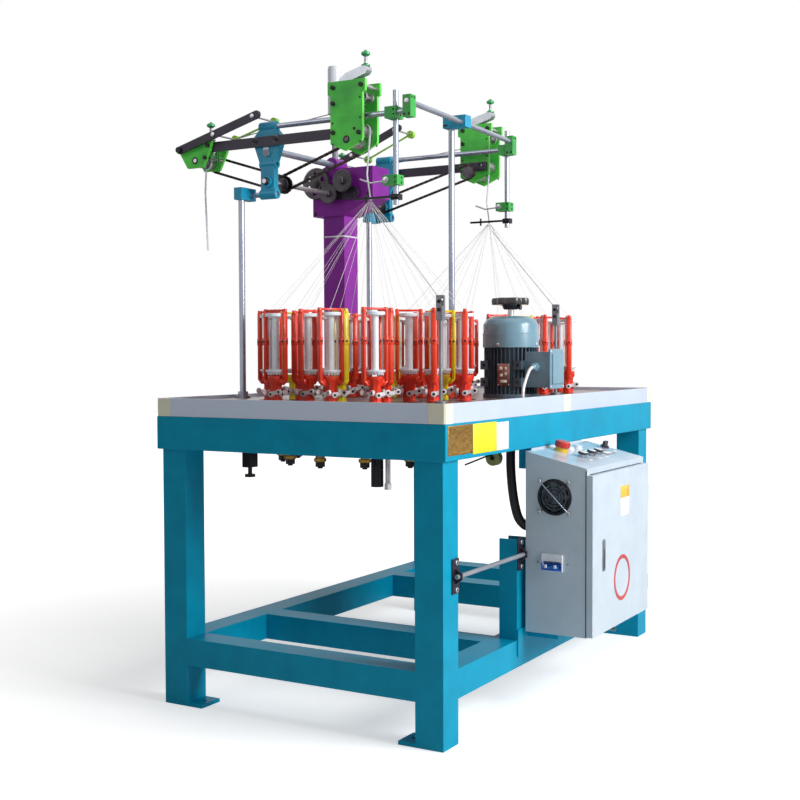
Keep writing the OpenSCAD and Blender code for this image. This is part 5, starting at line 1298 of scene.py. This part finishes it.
def makeCabinet():
    x0, y0, z0 = cabinet["x"], cabinet["y"], cabinet["z"]
    top = z0 + cabinet["high"]
    slope = cabinet["drop"] / cabinet["wide"]
    teal = lambda c: c.x < x0 - 0.5 or c.z < z0 - 0.5
    sloped = lambda c: c.x > x0 and abs(c.z - top + (c.x - x0) * slope) < 0.25
    softened(
        "cabinet_shell", 1.2, cabinetPaint, (tealPaint, teal), (panelPaint, sloped),
        slot="cabinet_paint"
    )
    door = lambda c: 383 < c.z < 473 and -217 < c.y < -203 and c.x > 651
    softened(
        "cabinet_door", 1.2, cabinetPaint, (steel, door), slot="door_paint", body="cabinet_door"
    )
    seam = block(
        "doorSeam", (x0 + 175.6, y0 - 0.6, z0 + 2), (x0 + 178.4, y0 + 1, top - 48), rubber, 0.3, 1
    )
    done(seam)


def makeDoorDetails():
    x = cabinet["x"] + cabinet["wide"] + cabinet["doorGap"] + cabinet["doorThick"]
    # flush lever lock, a plain red ring and a bare label on the door
    lock = block("doorLever", (x + 0.6, -222, 386), (x + 3, -206, 470), plateSteel, 0.8)
    lever = block("doorLeverGrip", (x + 2, -218, 392), (x + 4.4, -210, 446), gearSteel, 1)
    ring = turned("doorRing", [(54, 0), (65, 0), (65, 0.5), (54, 0.5)], redPlastic, 64, tube=True)
    circle = moved(ring, faceRight(x, -68, 345))
    label = block("doorLabelTop", (x, -81, 571), (x + 0.5, -12, 605), signalYellow, 0.15, 1)
    lower = block("doorLabel", (x, -81, 520), (x + 0.5, -12, 571), stickerWhite, 0.15, 1)
    for piece in (joined("doorLock", [lock, lever]), circle, joined("doorLabel", [label, lower])):
        done(piece, body="cabinet_door")


def makePanelDetails():
    paint(
        "panel_collars", chrome, (signalYellow, lambda c: c.y < -120 and c.x < 530),
        (whitePlastic, lambda c: c.x < 530 and c.y > -110)
    )
    for body, y in panel["buttons"]:
        paint(body, whitePlastic)
        steps = [(12.4, 8), (13.8, 9), (13.8, 13), (12.8, 15.4), (12.1, 15.4), (12.1, 8)]
        bezel = turned(body + "Bezel", steps, blackPlastic, 36, tube=True)
        cap = turned(
            body + "Cap", [(11.9, 13), (11.9, 15.6), (10.6, 16.4), (4, 16.6)], whitePlastic, 32
        )
        piece = moved(joined(body + "Head", [bezel, cap]), onPanel(panel["buttonU"], y))
        done(piece, body=body)
    # the mushroom's hollow skirt slides over a yellow collar
    skirt = [
        (4, 22), (17.8, 22), (17.8, 12.4), (21, 12.6), (22, 14), (22, 25), (20.6, 28.6), (16, 30.6),
        (8, 31)
    ]
    head = moved(turned("stopHead", skirt, redPlastic, 48), onPanel(*panel["stop"]))
    done(head, ["emergency_stop"], "emergency_stop")
    collar = turned(
        "stopCollar", [(17.2, 0), (17.2, 13), (16.6, 13.6), (5, 13.6)], signalYellow, 40
    )
    done(moved(collar, onPanel(*panel["stop"], 0.2)))
    paint("selector_knob", blackPlastic)
    # small bare plates under the buttons
    plates = []
    for u, y in (
        (70, -143), (70, -80), (70, -20), (134, -143), (134, -73), (134, -20), (110, 110), (30, 30)
    ):
        plate = block("panelPlate", (-5, -11, 0), (5, 11, 0.5), stickerWhite, 0.15, 1)
        plates.append(moved(plate, onPanel(u, y, 0.05)))
    meter = block("panelMeter", (-16, -30, 0), (16, 30, 2.4), greyPlastic, 0.8)
    window = block("panelWindow", (-11, -24, 2.3), (11, 24, 2.7), whitePlastic, 0.15, 1)
    plates.append(moved(joined("meter", [meter, window]), onPanel(110, 45, 0.05)))
    done(joined("panelPlates", plates))


def makeBreaker():
    # blue frame round the toggle and two white pips on it
    paint("breaker", whitePlastic, (greyPlastic, lambda c: c.x < 509.9 or c.x > 570.1))
    paint("breaker_toggle", bluePlastic)
    bars = []
    for left, right, high in ((510, 513.4, 411), (566.6, 570, 411), (513.4, 566.6, 395)):
        bars.append(
            block("breakerBlue", (left, -305.4, 389.5), (right, -302.9, high), bluePlastic, 0.4, 1)
        )
    done(joined("breakerBlue", bars))
    pips = [
        block("togglePip", (x, -314.2, 398), (x + 8, -312.6, 407), whitePlastic, 0.3, 1)
        for x in (522, 550)
    ]
    done(joined("togglePips", pips), body="breaker_toggle")


def makeFan():
    x, y, z = fan["x"], cabinet["y"], fan["z"]
    paint("fan_guard", boltBlack, (finPaint, lambda c: c.y > y - 0.1))
    paint("fan_rotor", greyPlastic)
    hoops = []
    for radius in (14, 24, 34):
        profile = [(radius, 0), (radius + 2, 0), (radius + 2, 1.6), (radius, 1.6)]
        hoops.append(
            moved(turned("guardHoop", profile, finPaint, 48, tube=True), faceY(x, y - 3, z))
        )
    done(joined("guardHoops", hoops))
    spoke = block("fanSpoke", (-64, -1.6, -1.6), (64, 1.6, 1.6), chrome, 0.6, 1)
    done(moved(spoke, shift(x, y - 5.6, z) @ spin(45, "Y")))
    profile = [(44, 0), (50, 0), (50, 1.4), (48.5, 2.4), (45, 2.4), (44, 1.4)]
    done(moved(turned("fanRing", profile, boltBlack, 64, tube=True), faceY(x, y, z)))
    screw = turned("fanScrew", [(5.4, 5), (5.4, 6.4), (3.6, 8), (1.4, 8.1)], steel, 20)
    reach = fan["screwCircle"] * math.cos(math.pi / 4)
    places = [faceY(x + dx, y, z + dz) for dx in (-reach, reach) for dz in (-reach, reach)]
    scatter(screw, places, "fanScrews")


makeCabinet()
makeDoorDetails()
makePanelDetails()
makeBreaker()
makeFan()
print("cabinet made")


# brace, feelers and the units under the table

brace = {"face": 449, "y": (-690, -304), "screwZ": (394, 462), "bar": (457, 428)}
paleDisc = {"x": 322, "y": -211, "z": 682, "radius": 23, "half": 11.1, "bore": 6.2}
stands = {"places": ((337, -560), (337, 200)), "screwZ": (1096, 1118)}


def makeSmallUnits():
    ends = brace["y"]
    plates = lambda c: c.x > 444.9 and 383 < c.z < 473 and min(abs(c.y - y) for y in ends) < 17.6
    bar = lambda c: math.dist((c.x, c.z), brace["bar"]) < 6.1
    softened("brace", 1.2, tealPaint, (blackSteel, plates), (greyPlastic, bar), slot="frame_paint")
    screws = [faceRight(brace["face"], y, z) for y in ends for z in brace["screwZ"]]
    scatter(makeSocketBolt(6.5, 5, castMetal), screws, "braceScrews")
    softened("feeler_stands", 0.8, plateSteel, slot="bright_steel")
    for side in ("front", "rear"):
        paint(side + "_feeler", steel)
    places = [faceY(x, y - 9, z) for x, y in stands["places"] for z in stands["screwZ"]]
    scatter(makeSocketBolt(5, 4), places, "standScrews")
    low = lambda c: 150 < c.x < 172 and c.z < 736
    x, y, z = paleDisc["x"], paleDisc["y"], paleDisc["z"]
    disc = lambda c: (
        abs(c.x - x) < paleDisc["radius"]
        and abs(c.y - y) < paleDisc["half"]
        and math.hypot(c.x - x, c.z - z) > paleDisc["bore"]
    )
    paint("under_units", boltBlack, (steel, low), (olivePlastic, disc))


makeSmallUnits()
print("small units made")


# light and floor

light = {"ambient": 0.12, "nearGlow": 0.5, "farGlow": 1.0}
# each lamp's place, target, size and power
lamps = {
    "keyLamp": ((4.6, -0.2, 2.6), (0, 0, 0.9), 2.6, 238),
    "frontLamp": ((-1.4, -2.4, 2.8), (0, -0.2, 1.4), 1.4, 7.6),
    "topLamp": ((0.4, 0, 5), (0, 0, 0.9), 3.0, 24),
}


def makeLamp(name, place, target, size, power):
    lamp = linked(name, bpy.data.lights.new(name, "AREA"))
    lamp.data.shape = "DISK"
    lamp.data.size = size
    lamp.data.energy = power
    lamp.location = place
    lamp.rotation_euler = (Vector(target) - Vector(place)).to_track_quat("-Z", "Y").to_euler()


def makeStudio():
    for name, (place, target, size, power) in lamps.items():
        makeLamp(name, place, target, size, power)
    world = bpy.data.worlds.new("studio")
    bpy.context.scene.world = world
    world.use_nodes = True
    tree = world.node_tree
    soft = tree.nodes["Background"]
    soft.inputs["Color"].default_value = (1, 1, 1, 1)
    soft.inputs["Strength"].default_value = light["ambient"]
    # camera and mirrored rays see plain white
    white = addNode(tree, "ShaderNodeBackground", Color=(1, 1, 1, 1), Strength=1.0)
    rays = addNode(tree, "ShaderNodeLightPath")
    seen = addNode(tree, "ShaderNodeMath", operation="MAXIMUM")
    wire(tree, rays, "Is Camera Ray", seen, 0)
    wire(tree, rays, "Is Glossy Ray", seen, 1)
    mix = addNode(tree, "ShaderNodeMixShader")
    wire(tree, seen, "Value", mix, "Fac")
    wire(tree, soft, "Background", mix, 1)
    wire(tree, white, "Background", mix, 2)
    wire(tree, mix, "Shader", tree.nodes["World Output"], "Surface")
    bpy.context.scene.view_settings.view_transform = "Standard"


def makeFloor():
    deselect()
    bpy.ops.mesh.primitive_plane_add(size=24, location=(0, 0, -0.0005))
    floor = bpy.context.object
    floor.name = "paleFloor"
    settle(floor)
    material = bpy.data.materials.new("paleFloor")
    material.use_nodes = True
    tree = material.node_tree
    shader = tree.nodes["Principled BSDF"]
    for key, value in (
        ("Base Color", (0.9, 0.9, 0.9, 1)), ("Roughness", 0.9), ("Specular IOR Level", 0.1)
    ):
        shader.inputs[key].default_value = value
    # the camera sees the floor grow white away from the machine
    place = addNode(tree, "ShaderNodeTexCoord")
    away = addNode(tree, "ShaderNodeVectorMath", operation="LENGTH")
    wire(tree, place, "Object", away, 0)
    fade = addNode(
        tree, "ShaderNodeMapRange", From_Min=0.9, From_Max=2.6, To_Min=light["nearGlow"],
        To_Max=light["farGlow"]
    )
    wire(tree, away, "Value", fade, "Value")
    glow = addNode(tree, "ShaderNodeEmission")
    wire(tree, fade, "Result", glow, "Strength")
    none = addNode(tree, "ShaderNodeEmission", Strength=0.0)
    rays = addNode(tree, "ShaderNodeLightPath")
    seen = addNode(tree, "ShaderNodeMixShader")
    wire(tree, rays, "Is Camera Ray", seen, "Fac")
    wire(tree, none, "Emission", seen, 1)
    wire(tree, glow, "Emission", seen, 2)
    both = addNode(tree, "ShaderNodeAddShader")
    wire(tree, shader, "BSDF", both, 0)
    wire(tree, seen, "Shader", both, 1)
    wire(tree, both, "Shader", tree.nodes["Material Output"], "Surface")
    floor.data.materials.append(material)


makeStudio()
makeFloor()
